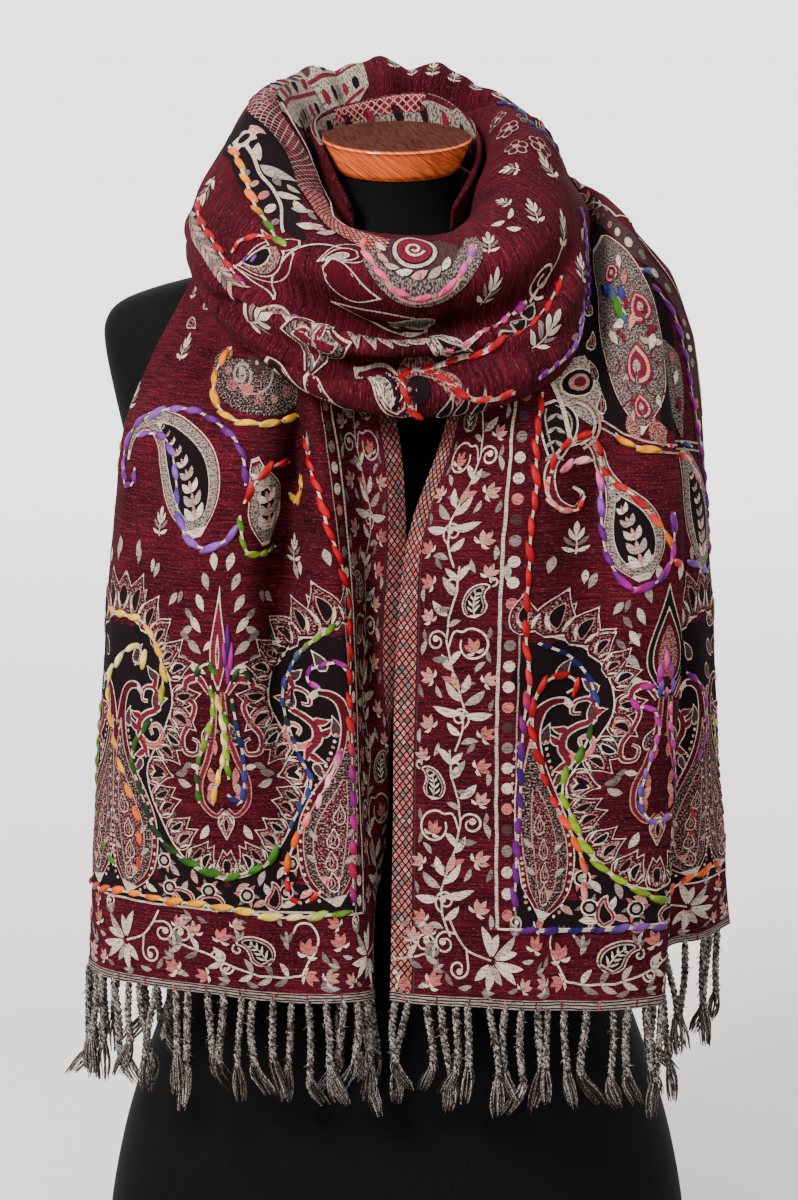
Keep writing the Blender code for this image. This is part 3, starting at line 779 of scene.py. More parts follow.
def neckCap():
    # the turned cap: a profile spun round, with rounded edges and a slightly crowned top
    r0, r1, h, e, crown = (cap[key] for key in ("footRadius", "topRadius", "height", "round", "crown"))
    profile = [(0.0, 0.0), (r0 * 0.5, 0.0), (r0 - e, 0.0)]
    for t in np.radians((25, 50, 75)):
        profile.append((r0 - e + e * math.sin(t), e - e * math.cos(t)))
    for share in np.linspace(0.12, 0.88, 9):
        profile.append((r0 + (r1 - r0) * share ** cap["bulge"], h * share))
    for t in np.radians((10, 35, 60, 85)):
        profile.append((r1 - e + e * math.cos(t), h - e + e * math.sin(t)))
    profile += [(r1 * 0.8, h + crown / 2), (r1 * 0.4, h + crown), (0.0, h + crown)]
    radii, heights = np.array(profile).T
    turn = np.linspace(0, 2 * math.pi, cap["around"], endpoint=False)
    spots = np.stack([np.outer(radii, np.cos(turn)), np.outer(radii, np.sin(turn)),
                      np.repeat(heights[:, None], len(turn), axis=1)], axis=2).reshape(-1, 3) * mm
    # the flat map only tells the top from the side
    top = np.repeat(np.arange(len(profile)) >= len(profile) - cap["topRows"], len(turn)) / mm
    tilt = Matrix.Translation((0, form["neckY"] * mm, cap["foot"] * mm))
    tilt = np.array(tilt @ Matrix.Rotation(math.radians(form["lean"]), 4, "X"))
    made = makeMesh("form_cap", spots @ tilt[:3, :3].T + tilt[:3, 3], ringFaces(len(profile), len(turn)),
                    finishes["cap"], np.stack([top * 0, top], axis=1))
    weld = bmesh.new()
    weld.from_mesh(made.data)
    bmesh.ops.remove_doubles(weld, verts=weld.verts, dist=cap["weld"])
    bmesh.ops.recalc_face_normals(weld, faces=weld.faces)
    weld.to_mesh(made.data)
    weld.free()
    made.data.shade_smooth()
    made.data.set_sharp_from_angle(angle=math.radians(cap["crease"]))
    return made


fit(formTorso(), "form_torso")
fit(neckCap(), "form_neck_cap")
print("form made")

# in mm: one layer's height, the spacings along curls, ribbons and broad grounds, and how far past the
# cloth's edge a figure may reach; shade is how far a figure's tone may stray
weaving = {"layer": 0.12, "curl": 1.2, "step": 1.7, "close": 2, "coarse": 2.5, "broad": 3,
           "overhang": 0.4, "seed": 21, "shade": 0.16}


class Weave:
    # woven figures on one stretch: flat shapes in mm, carried onto the cloth a little proud of it
    def __init__(self, cloth, shared=None, matrix=None, origin=(0.0, 0.0)):
        self.cloth = cloth
        self.shared = shared or {"points": [], "flat": [], "faces": [], "dyes": [], "count": 0, "dim": 1.0,
                                 "rng": np.random.default_rng(weaving["seed"])}
        self.matrix = np.eye(2) if matrix is None else matrix
        self.origin = np.asarray(origin, float)

    def put(self, at, turn=0.0, size=1.0, flip=False):
        # a nested place: turn is in degrees from up the cloth, towards +u
        a = math.radians(turn)
        local = np.array([[math.cos(a), math.sin(a)], [-math.sin(a), math.cos(a)]]) * size
        if flip:
            local = local @ np.diag([-1.0, 1.0])
        return Weave(self.cloth, self.shared, self.matrix @ local,
                     self.matrix @ np.asarray(at, float) + self.origin)

    def scale(self):
        return math.sqrt(abs(np.linalg.det(self.matrix)))

    def grid(self, spots, layer, dye):
        # spots is rows x columns x 2 in local mm; a dye's "+" makes it mottled
        flat = spots @ self.matrix.T + self.origin
        rows, columns = flat.shape[:2]
        low, high = flat[..., 1].min(), flat[..., 1].max()
        if high < -1 or low > self.cloth.length + 1:
            return
        lift = (halfCloth + self.cloth.lift + weaving["layer"] * layer) * mm
        placed, away = self.cloth.at(flat[..., 0], flat[..., 1], np.full(flat.shape[:2], lift))
        box = self.shared
        faces = gridFaces(rows, columns)
        keep = self.inside(flat, faces)
        normal = np.cross(placed[1, 0] - placed[0, 0], placed[0, -1] - placed[0, 0])
        if np.dot(normal, away[0, 0]) > 0:
            faces = faces[:, ::-1]
        faces = faces[keep] + box["count"]
        box["faces"].append(faces)
        box["points"].append(placed.reshape(-1, 3))
        box["flat"].append(flat.reshape(-1, 2))
        box["count"] += rows * columns
        # the shared dim darkens each figure as painted shade while a border sets it
        tone = (1 + box["rng"].uniform(-1, 1) * weaving["shade"]) * box["dim"]
        colour = np.r_[np.asarray(yarns[dye.rstrip("+")]) * tone, float(dye.endswith("+"))]
        box["dyes"].append(np.repeat(colour[None], len(faces), axis=0))

    def inside(self, flat, faces):
        # leave out what would run off the cloth's edges
        u, v = flat[..., 0].ravel()[faces], flat[..., 1].ravel()[faces]
        over = weaving["overhang"]
        fits = (u > -over) & (u < self.cloth.width + over) & (v > -over) & (v < self.cloth.length + over)
        return fits.all(axis=1)

    def ribbon(self, path, width, dye, layer=1, step=None):
        # path is local mm; width is one value or one for each share of the path
        path = np.asarray(path, float)
        lengths = lengthsAlong(path)
        if lengths[-1] < 0.3:
            return
        count = int(lengths[-1] * self.scale() / (step or weaving["step"])) + 1
        at = np.linspace(0, lengths[-1], max(3, count))
        line = lineAt(path, lengths, at)
        given = np.atleast_1d(width).astype(float)
        knots = np.linspace(0, 1, len(given))
        if len(given) > 2:
            widths = np.clip(curveThrough(given, knots, at / at[-1]), 0.05, None)
        else:
            widths = np.interp(at / at[-1], knots, given)
        lanes = max(1, math.ceil(widths.max() * self.scale() / self.cloth.lane))
        across = np.linspace(-0.5, 0.5, lanes + 1)
        aside = sideways(line)
        self.grid(line[:, None] + aside[:, None] * (widths[:, None] * across)[..., None], layer, dye)

    def disc(self, at, radius, dye, layer=1, sides=10):
        turn = np.linspace(0, 2 * math.pi, sides + 1)
        ring = np.stack([np.cos(turn), np.sin(turn)], axis=1) * radius
        self.grid(np.stack([ring * 0.02, ring * 0.6, ring]) + np.asarray(at, float), layer, dye)

    def bands(self, path, profile, bands, layer=1):
        # nested fills of one leaf-like shape; each band is (inset in mm, dye)
        profile, path = np.asarray(profile, float), np.asarray(path, float)
        lengths = lengthsAlong(path)
        fine = np.linspace(0, lengths[-1], 25)
        line = lineAt(path, lengths, fine)
        widths = np.clip(curveThrough(profile, np.linspace(0, 1, len(profile)), fine / fine[-1]), 0, None)
        for depth, (inset, dye) in enumerate(bands):
            left = widths - 2 * inset
            ends = (fine >= inset * 1.1) & (fine <= fine[-1] - inset * 2.0) & (left > 0.2)
            if ends.sum() >= 3:
                self.ribbon(line[ends], left[ends], dye, layer + depth)


def aimed(turn, reach=1.0):
    # a flat step of a length, turn degrees from up
    return np.array((math.sin(math.radians(turn)), math.cos(math.radians(turn)))) * reach


def arc(radius, start, end, centre=(0, 0), count=12, shrink=1.0):
    # points on a turn, in degrees from up, shrinking towards its end
    turn = np.radians(np.linspace(start, end, count))
    r = radius * np.linspace(1, shrink, count)
    return np.stack([centre[0] + r * np.sin(turn), centre[1] + r * np.cos(turn)], axis=1)


def wavy(path, size, pitch, seed=0):
    # the same line with a slow weaver's wobble
    path = np.asarray(path, float)
    lengths = lengthsAlong(path)
    at = np.linspace(0, lengths[-1], max(4, int(lengths[-1] / pitch * 3)))
    line = np.stack([np.interp(at, lengths, path[:, k]) for k in (0, 1)], axis=1)
    rng = np.random.default_rng(seed)
    push = np.convolve(rng.uniform(-1, 1, len(line) + 2), (0.25, 0.5, 0.25), "valid") * size * 1.6
    return line + sideways(line) * push[:, None]


def along(path, pitch, start=0.0):
    # even places along a path, with headings in degrees from up
    path = np.asarray(path, float)
    lengths = lengthsAlong(path)
    at = np.arange(start, lengths[-1], pitch)
    near = lineAt(path, lengths, np.minimum(at + 0.5, lengths[-1]))
    ahead = near - lineAt(path, lengths, np.maximum(at - 0.5, 0))
    return list(zip(lineAt(path, lengths, at), np.degrees(np.arctan2(ahead[:, 0], ahead[:, 1]))))


def scatter(make, w, rows, *rest, **more):
    # the same figure at each row's flat place, with what else the row says
    for u, v, *row in rows:
        make(w, (u, v), *row, *rest, **more)


def plant(w, path, pitch, *kinds):
    # figures at even places along a path, each with its turn off the path; a list of dyes takes turns
    for k, (spot, heading) in enumerate(along(path, pitch)):
        for make, turn, *rest in kinds:
            own = (part[k % len(part)] if isinstance(part, tuple) else part for part in rest)
            make(w, spot, heading + turn, *own)


# widths along a figure, foot to tip, as shares of its full width
profiles = {
    "leaf": np.array((0.02, 0.55, 0.9, 1.0, 0.88, 0.58, 0.04)),
    "drop": np.array((0.05, 0.45, 0.8, 1.0, 0.98, 0.7, 0.05)),
    "pointed": np.array((0.45, 0.92, 1.0, 0.88, 0.60, 0.28, 0.02)),
    "tall": np.array((0.12, 0.62, 0.95, 1.0, 0.86, 0.62, 0.38, 0.18, 0.02)),
}


def leaf(w, at, turn=0, length=12, width=5, dye="cream", bend=0.12, layer=1):
    path = [(0, 0), (bend * length * 0.7, length * 0.5), (0, length)]
    w.put(at, turn).ribbon(path, profiles["leaf"] * width, dye, layer)


def slimLeaf(w, at, turn, size, dye, share=0.36, bend=0.12, layer=1):
    leaf(w, at, turn, size, size * share, dye, bend, layer)


def drop(w, at, turn=0, length=8, width=3.6, dye="cream", layer=1):
    w.put(at, turn).ribbon([(0, 0), (0, length * 0.5), (0, length)], profiles["drop"] * width, dye, layer)


def linedLeaf(w, at, turn=0, length=16, width=9, edge="cream", fill="dusk", heart="pink", bend=0.08,
              layer=1, line=0.72):
    # a pointed leaf with an outline, a fill and a small leaf inside; broad ones have a second line
    w = w.put(at, turn)
    bands = [(0, edge), (line, fill)] if width < 11 else [(0, edge), (line, "maroon"), (line + 1.1, fill)]
    w.bands([(0, 0), (bend * length, length * 0.45), (0, length)], profiles["pointed"] * width, bands,
            layer)
    if heart:
        w.bands([(0, length * 0.14), (bend * length, length * 0.4), (0, length * 0.70)],
                profiles["leaf"] * width * 0.36, [(0, heart), (0.6, "black")], layer + 3)
        if width > 9:
            for sign in (-1, 1):
                leaf(w, (sign * width * 0.12, length * 0.10), sign * 24, length * 0.40, width * 0.10,
                     edge, 0.1, layer + 3)


def spiral(w, at, turn=0, size=6, dye="cream", dot="cream", width=1.0, wind=500, lead=0, layer=1):
    # a curl that winds in to a dot; lead is a straight start
    w = w.put(at, turn)
    path = arc(size, -90, -90 + wind, (size, lead), 22, 0.28)
    if lead:
        path = np.concatenate([[(0, 0), (0, lead * 0.5)], path])
    w.ribbon(path, [width, width * 1.1, width * 0.9], dye, layer, weaving["curl"])
    if dot:
        w.disc(path[-1], size * 0.26 + 0.4, dot, layer + 1, 8)


def paisley(w, at, turn=0, length=30, width=16, bend=80, bands=(), vein="cream", layer=1):
    # a boteh: round at its foot, drawn out to a tip that bends over
    w = w.put(at, turn)
    share = np.linspace(0, 1, 15)
    heading = bend * share**2.1
    steps = np.concatenate([[(0, 0)], [aimed(h, length / 14) for h in heading[1:]]])
    line = np.cumsum(steps, axis=0)
    foot = np.where(share < 0.34, np.sqrt(np.clip(1 - (1 - share / 0.34) ** 2, 0, 1)), 1)
    taper = np.where(share > 0.34, np.clip(1 - (share - 0.34) / 0.66, 0, 1) ** 0.8, 1)
    w.bands(line, width * foot * taper + 0.25 * (1 - share), bands, layer)
    if vein:
        top = layer + len(bands)
        w.ribbon(line[1:10], 0.7, vein, top)
        for k in (3, 5, 7, 9):
            side = width * 0.22 * (1 - k / 15)
            for sign in (-1, 1):
                leaf(w, line[k - 1], heading[k] + sign * 42, side * 1.7 + 1.2, 1.5, vein, 0.1, top)
    return line


def hookedPaisley(w, at, turn, length, width, bend, insets, curl, thick, layer=1):
    # a small paisley with a double outline and a curl at its tip
    bands = list(zip((0, *insets), ("cream", "maroon", "stone", "black")))
    tip = paisley(w, at, turn, length, width, bend, bands, "cream", layer)[-1]
    spiral(w.put(at, turn), tip, bend, curl, "cream", None, thick, 330)


def sprig(w, at, turn=0, size=16, dye="cream", second="grey"):
    # a small plant: a stem, side leaves and a bud
    w = w.put(at, turn, size / 17.5)
    w.ribbon([(0, 0), (0.4, 5), (0, 9)], 0.8, dye)
    for height, spread, length, tone in ((1.5, 68, 6.5, dye), (4.0, 48, 7.5, second), (6.5, 28, 7.0, dye)):
        for sign in (-1, 1):
            leaf(w, (0, height), sign * spread, length, 2.15, tone, 0.1 * sign)
    drop(w, (0, 8.5), 0, 7.5, 2.6, dye)


def tulip(w, at, turn=0, size=9, dye="pink"):
    # a bud seen from its side: three pointed petals over two sepals
    for aim, share in ((-36, 0.86), (36, 0.86), (0, 1.0)):
        leaf(w, at, turn + aim, size * share, size * 0.38, dye, 0.05, 3)
    for sign in (-1, 1):
        leaf(w, at, turn + sign * 84, size * 0.6, size * 0.24, "cream", 0.25 * sign, 4)


trellis = {"width": 13.0, "across": 3, "pitch": 5.4, "open": 0.74,
           "dyes": ("pink", "pink", "pink", "rosy", "grey")}


def lattice(w, path, width=trellis["width"], across=trellis["across"], dyes=trellis["dyes"], ground="black",
            layer=0, share=trellis["open"]):
    # small diamonds between diagonal threads, along a path
    w.ribbon(path, width, ground, layer, weaving["coarse"])
    cell, pitch = width / across, trellis["pitch"]
    half, tall = cell / 2 * share, pitch / 2 * share
    for row, (spot, heading) in enumerate(along(path, pitch / 2, pitch / 4)):
        here = w.put(spot, heading)
        for k in range(across + row % 2):
            u = (k + 0.5 - 0.5 * (row % 2)) * cell - width / 2
            left, right = max(u - half, 0.1 - width / 2), min(u + half, width / 2)
            here.grid(np.array([[(left, 0), (u, -tall)], [(u, tall), (right, 0)]]), layer + 1,
                      dyes[w.shared["rng"].integers(len(dyes))])


def dotRow(w, path, seed=0, radius=3.6, pitch=12.6, layer=1):
    for k, (spot, _) in enumerate(along(path, pitch)):
        w.disc(spot, radius, ("cream", "pink", "grey", "cream", "dusk")[(k * 7 + seed) % 5], layer)


vine = {
    "pitch": 112.0, "width": 53.0, "start": 14,
    "stem": ((24, -3), (19, 10), (18, 24), (23, 38), (29, 52), (32, 66), (30, 80), (25, 94), (24, 110)),
    # u, v, turn, size, dye of the broad leaves in pairs, the lowest pair laid out flat
    "broad": ((17.5, 20, -88, 16, "cream"), (18.5, 21, 80, 22, "cream"), (18, 26, -52, 15, "stone"),
              (19, 28, 46, 18, "cream"), (20.5, 33, -24, 13, "cream"), (21.5, 35, 26, 13, "rosy")),
    # down both sides of the stem
    "leaves": ((20, 7, 52, 13, "cream"), (24, 41, 78, 11, "pink"), (27, 47, 40, 13, "cream"),
               (30, 55, 96, 12, "grey"), (31, 80, 50, 14, "cream"), (29, 85, 96, 12, "grey"),
               (25, 94, 46, 14, "stone"), (29, 50, -42, 12, "cream"), (24, 101, -40, 13, "cream"),
               (20, 2, -80, 11, "stone"), (31, 73, -64, 10, "stone"), (22, 37, -78, 11, "grey"),
               (24, 103, 60, 11, "cream")),
    "buds": ((41, 12, 40, 9.5, "rosy"), (42, 99, 70, 9.0, "pink"), (7, 6, -50, 9.0, "pink"),
             (41, 42, 66, 9.5, "rosy"), (6, 40, -60, 8.5, "rosy"), (43, 77, 30, 8.5, "rosy"),
             (6, 104, -20, 8.5, "rosy")),
    "loose": ((47, 30, 20, 9, "grey"), (49, 56, -20, 10, "stone"), (46, 64, 10, 8, "grey"),
              (48, 88, 0, 9, "stone"), (3, 22, -15, 8, "grey"), (36, 108, 30, 9, "grey"),
              (4, 74, 170, 8, "grey"), (13, 106, 20, 9, "stone"), (3, 52, 15, 8, "grey"),
              (12, 46, -40, 9, "stone"), (34, 30, 30, 9, "stone"), (49, 2, 0, 9, "stone")),
}


def vineUnit(w):
    # one repeat of the climbing vine
    w.ribbon(wavy(vine["stem"], 0.35, 8, 4), 1.35, "cream")
    for u, v, turn, size, dye in vine["broad"]:
        leaf(w, (u, v), turn, size, 5.2, dye, 0.12 if turn > 0 else -0.12, 2)
    # a scroll with a bud in it
    w.ribbon(np.concatenate([[(31, 60), (25, 71)], arc(9.8, 40, -290, (14.0, 63), 15, 0.8)]), 1.3,
             "cream", step=1.4)
    tulip(w, (12.0, 58.5), 24, 9.5)
    hookedPaisley(w, (12.5, 79), 12, 25, 15.5, -105, (1.0, 1.9, 2.7), 3.2, 1.1)
    # curls that end in a dot
    spiral(w, (32, 67), 44, 6.6, "cream", "cream", 1.25, 430, 3)
    spiral(w, (19, 11), -50, 6.8, "cream", "cream", 1.25, 440, 3)
    spiral(w.put((26, 93), 0, 1, True), (0, 0), -84, 5.4, "cream", "cream", 1.2, 410, 2)
    scatter(slimLeaf, w, vine["leaves"])
    scatter(tulip, w, vine["buds"])
    scatter(slimLeaf, w, vine["loose"])


def sideBorder(w, top, seed, hem, reach, dim=1.0, line=67.0):
    # selvedge trellis, climbing vine, a line and a row of dots; the line turns along the top of the hem
    # dim is painted shade: it darkens the trellis and vine yarns of a border lying in a fold's shadow
    w.shared["dim"] = dim
    lattice(w, [(trellis["width"] / 2, 0), (trellis["width"] / 2, top)])
    w.ribbon(wavy([(14.6, 0), (14.6, top)], 0.2, 14, seed + 1), 0.8, "dusk", 1, weaving["coarse"])
    for k, v in enumerate(np.arange(hem - 3, top, vine["pitch"])):
        # every other repeat is mirrored
        vineUnit(w.put((vine["start"] + k % 2 * vine["width"] * 0.98, v), 0, 1, k % 2 == 1))
    w.shared["dim"] = 1.0
    w.ribbon(wavy([(line, hem), (line, top)], 0.45, 12, seed + 2), 2.0, "cream", 2, step=2.0)
    w.ribbon(wavy([(line, hem), (reach, hem)], 0.3, 12, seed + 2), 1.3, "cream", 4, step=2.0)
    dotRow(w, [(line + 6.4, hem + 8), (line + 6.4, top)], seed)


hemVine = {
    "stems": (((2, 9), (14, 7), (30, 7), (46, 11), (60, 17), (74, 21), (84, 24)),
              ((-75, 43), (-71, 35), (-64, 26), (-50, 20))),
    # turn and size of the burst's broad leaves, more to the far side than to the stem's
    "burst": ((-172, 16), (156, 13), (130, 18), (101, 19), (73, 15), (46, 19), (16, 14), (-14, 18),
              (-142, 13)),
    "arch": ((3, 9), (-1, 17), (-6, 25), (-7, 33), (-2, 40), (6, 39), (9, 34)),
    # place, turn, size, whether mirrored, and the straight start
    "curls": (((-71, 35), -80, 7.0, True, 6), ((-64, 26), 176, 6.6, False, 11),
              ((84, 24), 24, 6.8, True, 2),
              ((-34, 38), 60, 4.6, True, 2), ((46, 10), 150, 4.2, True, 2), ((60, 17), -30, 4.6, True, 2)),
    "triples": (((-36, 35), 20), ((12, 28), 12), ((42, 27), 20), ((-8, 1), -70), ((84, 13), 60),
                ((48, 2), 80), ((-86, 20), 0), ((-20, 14), 70), ((72, 40), 80), ((-56, 1), 90)),
    "pairs": ((12, 7), (22, 7), (34, 8), (53, 14), (68, 19), (79, 22)),
    "buds": ((-22, 27, 24, 10, "pink"), (-12, 6, -60, 9, "rosy"), (54, 27, -20, 9.5, "pink"),
             (70, 30, 10, 9, "rosy"), (62, 4, 100, 8.5, "pink"), (-88, 3, 20, 9.5, "pink"),
             (-30, 4, 40, 8, "rosy"), (-88, 34, -30, 8.5, "rosy"), (-20, 40, 60, 8, "pink"),
             (46, 36, -50, 8, "rosy"), (82, 6, 60, 9, "pink")),
    "loose": ((-14, 16, 30, 9, "grey"), (12, 24, 10, 9, "stone"), (38, 40, 80, 8, "grey"),
              (-20, 1, 84, 9, "stone"), (30, 0, 70, 9, "grey"), (74, 2, 60, 9, "stone"),
              (-78, 12, 150, 9, "grey"), (-70, 3, 80, 9, "stone"), (62, 38, 60, 8, "grey"),
              (16, 38, 20, 8, "stone"), (-40, 2, 70, 8, "grey"), (-30, 20, 80, 8, "stone")),
}


def hemUnit(w):
    # one repeat of the hem's vine, 170 mm wide and 42 tall, centred under the garland
    w.ribbon(wavy(hemVine["stems"][0], 0.3, 10, 2), 1.3, "cream")
    w.ribbon(hemVine["stems"][1], 1.3, "cream")
    for k, (turn, size) in enumerate(hemVine["burst"]):
        leaf(w, (-50, 20) + aimed(turn, 2.5), turn, size, 5.0, "stone" if k % 4 == 1 else "cream",
             0.10 if k % 2 else -0.06, 3)
    # a bud inside an arched stem
    w.ribbon(hemVine["arch"], 1.25, "cream", step=1.4)
    tulip(w, (0, 21), -14, 11)
    tulip(w, (1, 9), -110, 9)
    hookedPaisley(w, (24, 14), 30, 28, 17, 92, (1.0, 2.0, 2.9), 3.4, 1.2, 2)
    for at, turn, size, flip, lead in hemVine["curls"]:
        spiral(w.put(at, 0, 1, flip), (0, 0), -turn if flip else turn, size, "cream", "cream", 1.25, 430,
               lead)
    for at, turn in hemVine["triples"]:
        for aim in (-34, 0, 34):
            leaf(w, at, turn + aim, 8.0, 2.6, "grey" if aim else "stone", 0.05, 2)
    # leaves along the stem, in feathery pairs
    for k, at in enumerate(hemVine["pairs"]):
        for sign in (-1, 1):
            dye = ("cream", "grey", "stone", "cream")[(k + (sign > 0)) % 4]
            leaf(w, at, 76 + sign * 44, 10.5, 3.7, dye, 0.1 * sign, 2)
    scatter(tulip, w, hemVine["buds"])
    scatter(slimLeaf, w, hemVine["loose"], 0.38)


def endBorder(w, centres, reach, seed=0):
    # the vine laid along the hem, with the woven hem band under it
    for centre in centres:
        hemUnit(w.put((centre, 8)))
    w.ribbon(wavy([(0, 3.0), (reach, 3.0)], 0.15, 9, seed), 5.6, "stone", 1, weaving["coarse"])
    for v in (1.3, 3.1, 4.9):
        w.ribbon(wavy([(0, v), (reach, v)], 0.25, 7, seed + int(v * 3)), 0.75, "black", 2,
                 weaving["coarse"])
    for k, u in enumerate(np.arange(8, reach, 21.0)):
        w.ribbon([(u, 0.6), (u + 0.5, 5.4)], 1.0, "wine" if k % 3 else "pink", 3)


garland = {
    # right half of the U, in mm from the middle of the hem row: outwards and up
    "curve": ((0, 19), (18, 25), (32, 38), (43, 54), (52, 70), (55, 86), (47, 102), (39, 116), (34, 128),
              (36, 142), (43, 154), (56, 167), (76, 178)),
    "leafPitch": 11.8,
    # path, width and layer of the dark ground
    "ground": (
        (((56, 80), (56, 98), (58, 114), (60, 134), (66, 152), (78, 168)), (8, 26, 44, 52, 46, 18), 1),
        (((2.2, 16), (20.2, 22), (34.2, 35), (45.2, 51), (54.2, 67), (57.2, 83)), 8, 1),
        (((0, 7), (40, 8), (88, 9)), 16, 1),
        (((26, 12), (36, 26), (47, 46)), (24, 20, 10), 1),
        (((72, 146), (80, 158), (88, 162)), (30, 30, 26), 1),
        (((56, 22), (88, 22)), 30, 0),
    ),
    # place, turn and size: tall leaves on the lobe's shoulder, then small ones on the dark lobe
    "tall": (((44, 152), -58, 0.95), ((52, 161), -42, 1.15), ((61, 169), -26, 1.35), ((72, 176), -12, 1.5),
             ((84, 179), 4, 1.3)),
    "small": ((45, 122, 16, 15), (46, 142, 56, 14), (60, 92, 150, 12), (68, 150, -24, 14),
              (72, 110, -6, 14)),
    "paisley": ((70, 5), (69, 9), (66, 24), (66, 42), (71, 62), (77, 84), (80, 104), (79, 122), (74, 134),
                (66, 137), (60, 132)),
    "paisleyWidths": (3, 32, 40, 41, 36, 28, 19, 12, 8, 6, 3),
    "paisleyBands": ((0, "cream"), (0.9, "maroon"), (4.2, "rosy"), (5.0, "dusk+"), (10.5, "rosy"),
                     (11.3, "wine+")),
    "eyes": 24,
}


def garlandHalf(w):
    # the dark band with its inward leaves, the lobe, and the large mottled paisley outside it
    curve = np.array(garland["curve"], float)
    for path, width, layer in garland["ground"]:
        w.ribbon(path, width, "black", layer, weaving["broad"])
    w.ribbon(curve, 1.0, "cream", 3, step=1.6)
    for k, (spot, heading) in enumerate(along(curve, garland["leafPitch"], 3.0)):
        inward = heading - 90
        grow = 1.0 + 0.16 * float(smooth((spot[1] - 30) / 110))
        # mottled ground behind the leaves, then the leaf
        leaf(w, spot, inward - 28, 13 * grow, 8, "dusk+", 0.1, 1)
        linedLeaf(w, spot, inward, 19.5 * grow, 12.8 * grow, "cream",
                  ("wine+", "wine+", "dusk+", "rosy+")[k % 4],
                  ("rosy", "cream", "pink")[k % 3], 0.10 if k % 2 else -0.06, 2)
        if k % 2 == 1 and k > 5:
            drop(w, spot + aimed(inward, 26 * grow) + (0, 4), inward + 20, 8.5, 3.8,
                 ("cream", "grey")[(k // 2) % 2])
    for at, turn, size in garland["tall"]:
        linedLeaf(w, at, turn, 20 * size, 13.5 * size, "cream", "wine+", "rosy", 0.08, 4)
        drop(w, at + aimed(turn + 18, 26 * size), turn, 10.5, 4.6, "stone")
    scroll(w, (55, 93), -4, 1.12)
    for u, v, turn, size in garland["small"]:
        linedLeaf(w, (u, v), turn, size, size * 0.48, "cream", "dusk", None, 0.1, 3)
    # the mottled paisley, with chains of small eyes along its border
    spine, widths, eyes = garland["paisley"], garland["paisleyWidths"], garland["eyes"]
    w.bands(spine, widths, garland["paisleyBands"], 5)
    line = curveThrough(spine, np.arange(11.0), np.linspace(1.1, 6.4, eyes))
    inset = np.interp(np.linspace(0.8, 5.9, eyes), np.arange(11.0), widths) / 2 - 2.5
    edge = sideways(line) * inset[:, None]
    for k in range(eyes):
        for sign in (-1, 1):
            w.disc(line[k] + sign * edge[k], 1.15, ("cream", "rosy")[k % 2], 8, 6)
    scatter(linedLeaf, w, ((67, 14, 0), (66, 27, 4), (67, 41, 8), (71, 56, 12)), 13, 8.0, "cream",
            "wine+", "rosy", 0.08, 12)
    scatter(leaf, w, ((58, 30, -50), (75, 32, 50), (59, 44, -40), (77, 48, 44)), 8, 3.4, "stone", 0.1, 12)


scrollStem = {
    "path": ((0, 0), (3, 7), (7, 12), (7, 19), (2, 24), (-4, 27), (-6, 34), (-1, 39), (6, 37), (6, 31),
             (2, 31)),
    "outer": (3.0, 5.2, 5.6, 5.2, 4.6, 4.4, 4.2, 3.6, 3.0, 2.6, 2.0),
    "inner": (1.2, 3.4, 3.8, 3.4, 2.8, 2.6, 2.4, 1.8, 1.3, 1.0, 0.6),
    "low": ((4, 10), (-1, 7), (-7, 8), (-10, 14), (-6, 19), (-1, 17), (-3, 13)),
    "lowOuter": (3.4, 4.4, 4.6, 4.2, 3.4, 2.8, 2.2),
    "lowInner": (1.6, 2.8, 3.0, 2.6, 1.8, 1.2, 0.7),
    "leaves": ((8, 14, 50), (6, 22, 80), (-5, 30, -60), (2, 4, 120), (-2, 38, -20)),
}


def cased(w, path, outer, inner, edge, fill, layer):
    # a thick stem in one dye with an edge of another
    w.ribbon(path, outer, edge, layer)
    w.ribbon(path, inner, fill, layer + 1)


def scroll(w, at, turn, size=1.0):
    # a thick curling stem with leaves off it
    w, s = w.put(at, turn, size), scrollStem
    cased(w, s["path"], s["outer"], s["inner"], "cream", "wine", 3)
    cased(w, s["low"], s["lowOuter"], s["lowInner"], "cream", "pink", 3)
    scatter(linedLeaf, w, s["leaves"], 10, 4.8, "cream", "wine", None, 0.1, 3)


under = {
    "paisleys": ((2, 1, 55), (-26, 1, -30), (22, 1, 35)),
    "paisleyBands": ((0, "cream"), (0.9, "wine"), (1.9, "rosy"), (2.8, "black")),
    "daisies": ((11, 12), (-12, 10), (37, 12), (-37, 12), (41, 29), (-41, 29)),
    "leaves": ((5, 12, 60), (-5, 12, -60), (30, 20, 40), (-31, 20, -40), (18, 16, 20), (-20, 16, -20),
               (47, 38, 20), (-47, 38, -20), (32, 3, 80), (-33, 3, -80), (-16, 3, -70), (12, 2, 80),
               (46, 8, 60), (-46, 8, -60), (28, 8, -20), (-28, 9, 30)),
}


def underGarland(w):
    # small things on the dark ground below the U
    scatter(paisley, w, under["paisleys"], 20, 11.5, 80, under["paisleyBands"], None, 3)
    for at in under["daisies"]:
        for k, (radius, dye) in enumerate(((5.0, "cream"), (4.0, "black"), (2.4, "stone"))):
            w.disc(at, radius, dye, 3 + k)
        for k in range(6):
            leaf(w, at, 20 + 60 * k, 8.4, 2.6, ("grey", "pink")[k % 2], 0.1, 2)
    for k, (u, v, turn) in enumerate(under["leaves"]):
        leaf(w, (u, v), turn, 10, 4.2, ("cream", "rosy", "stone")[k % 3], 0.1, 3)


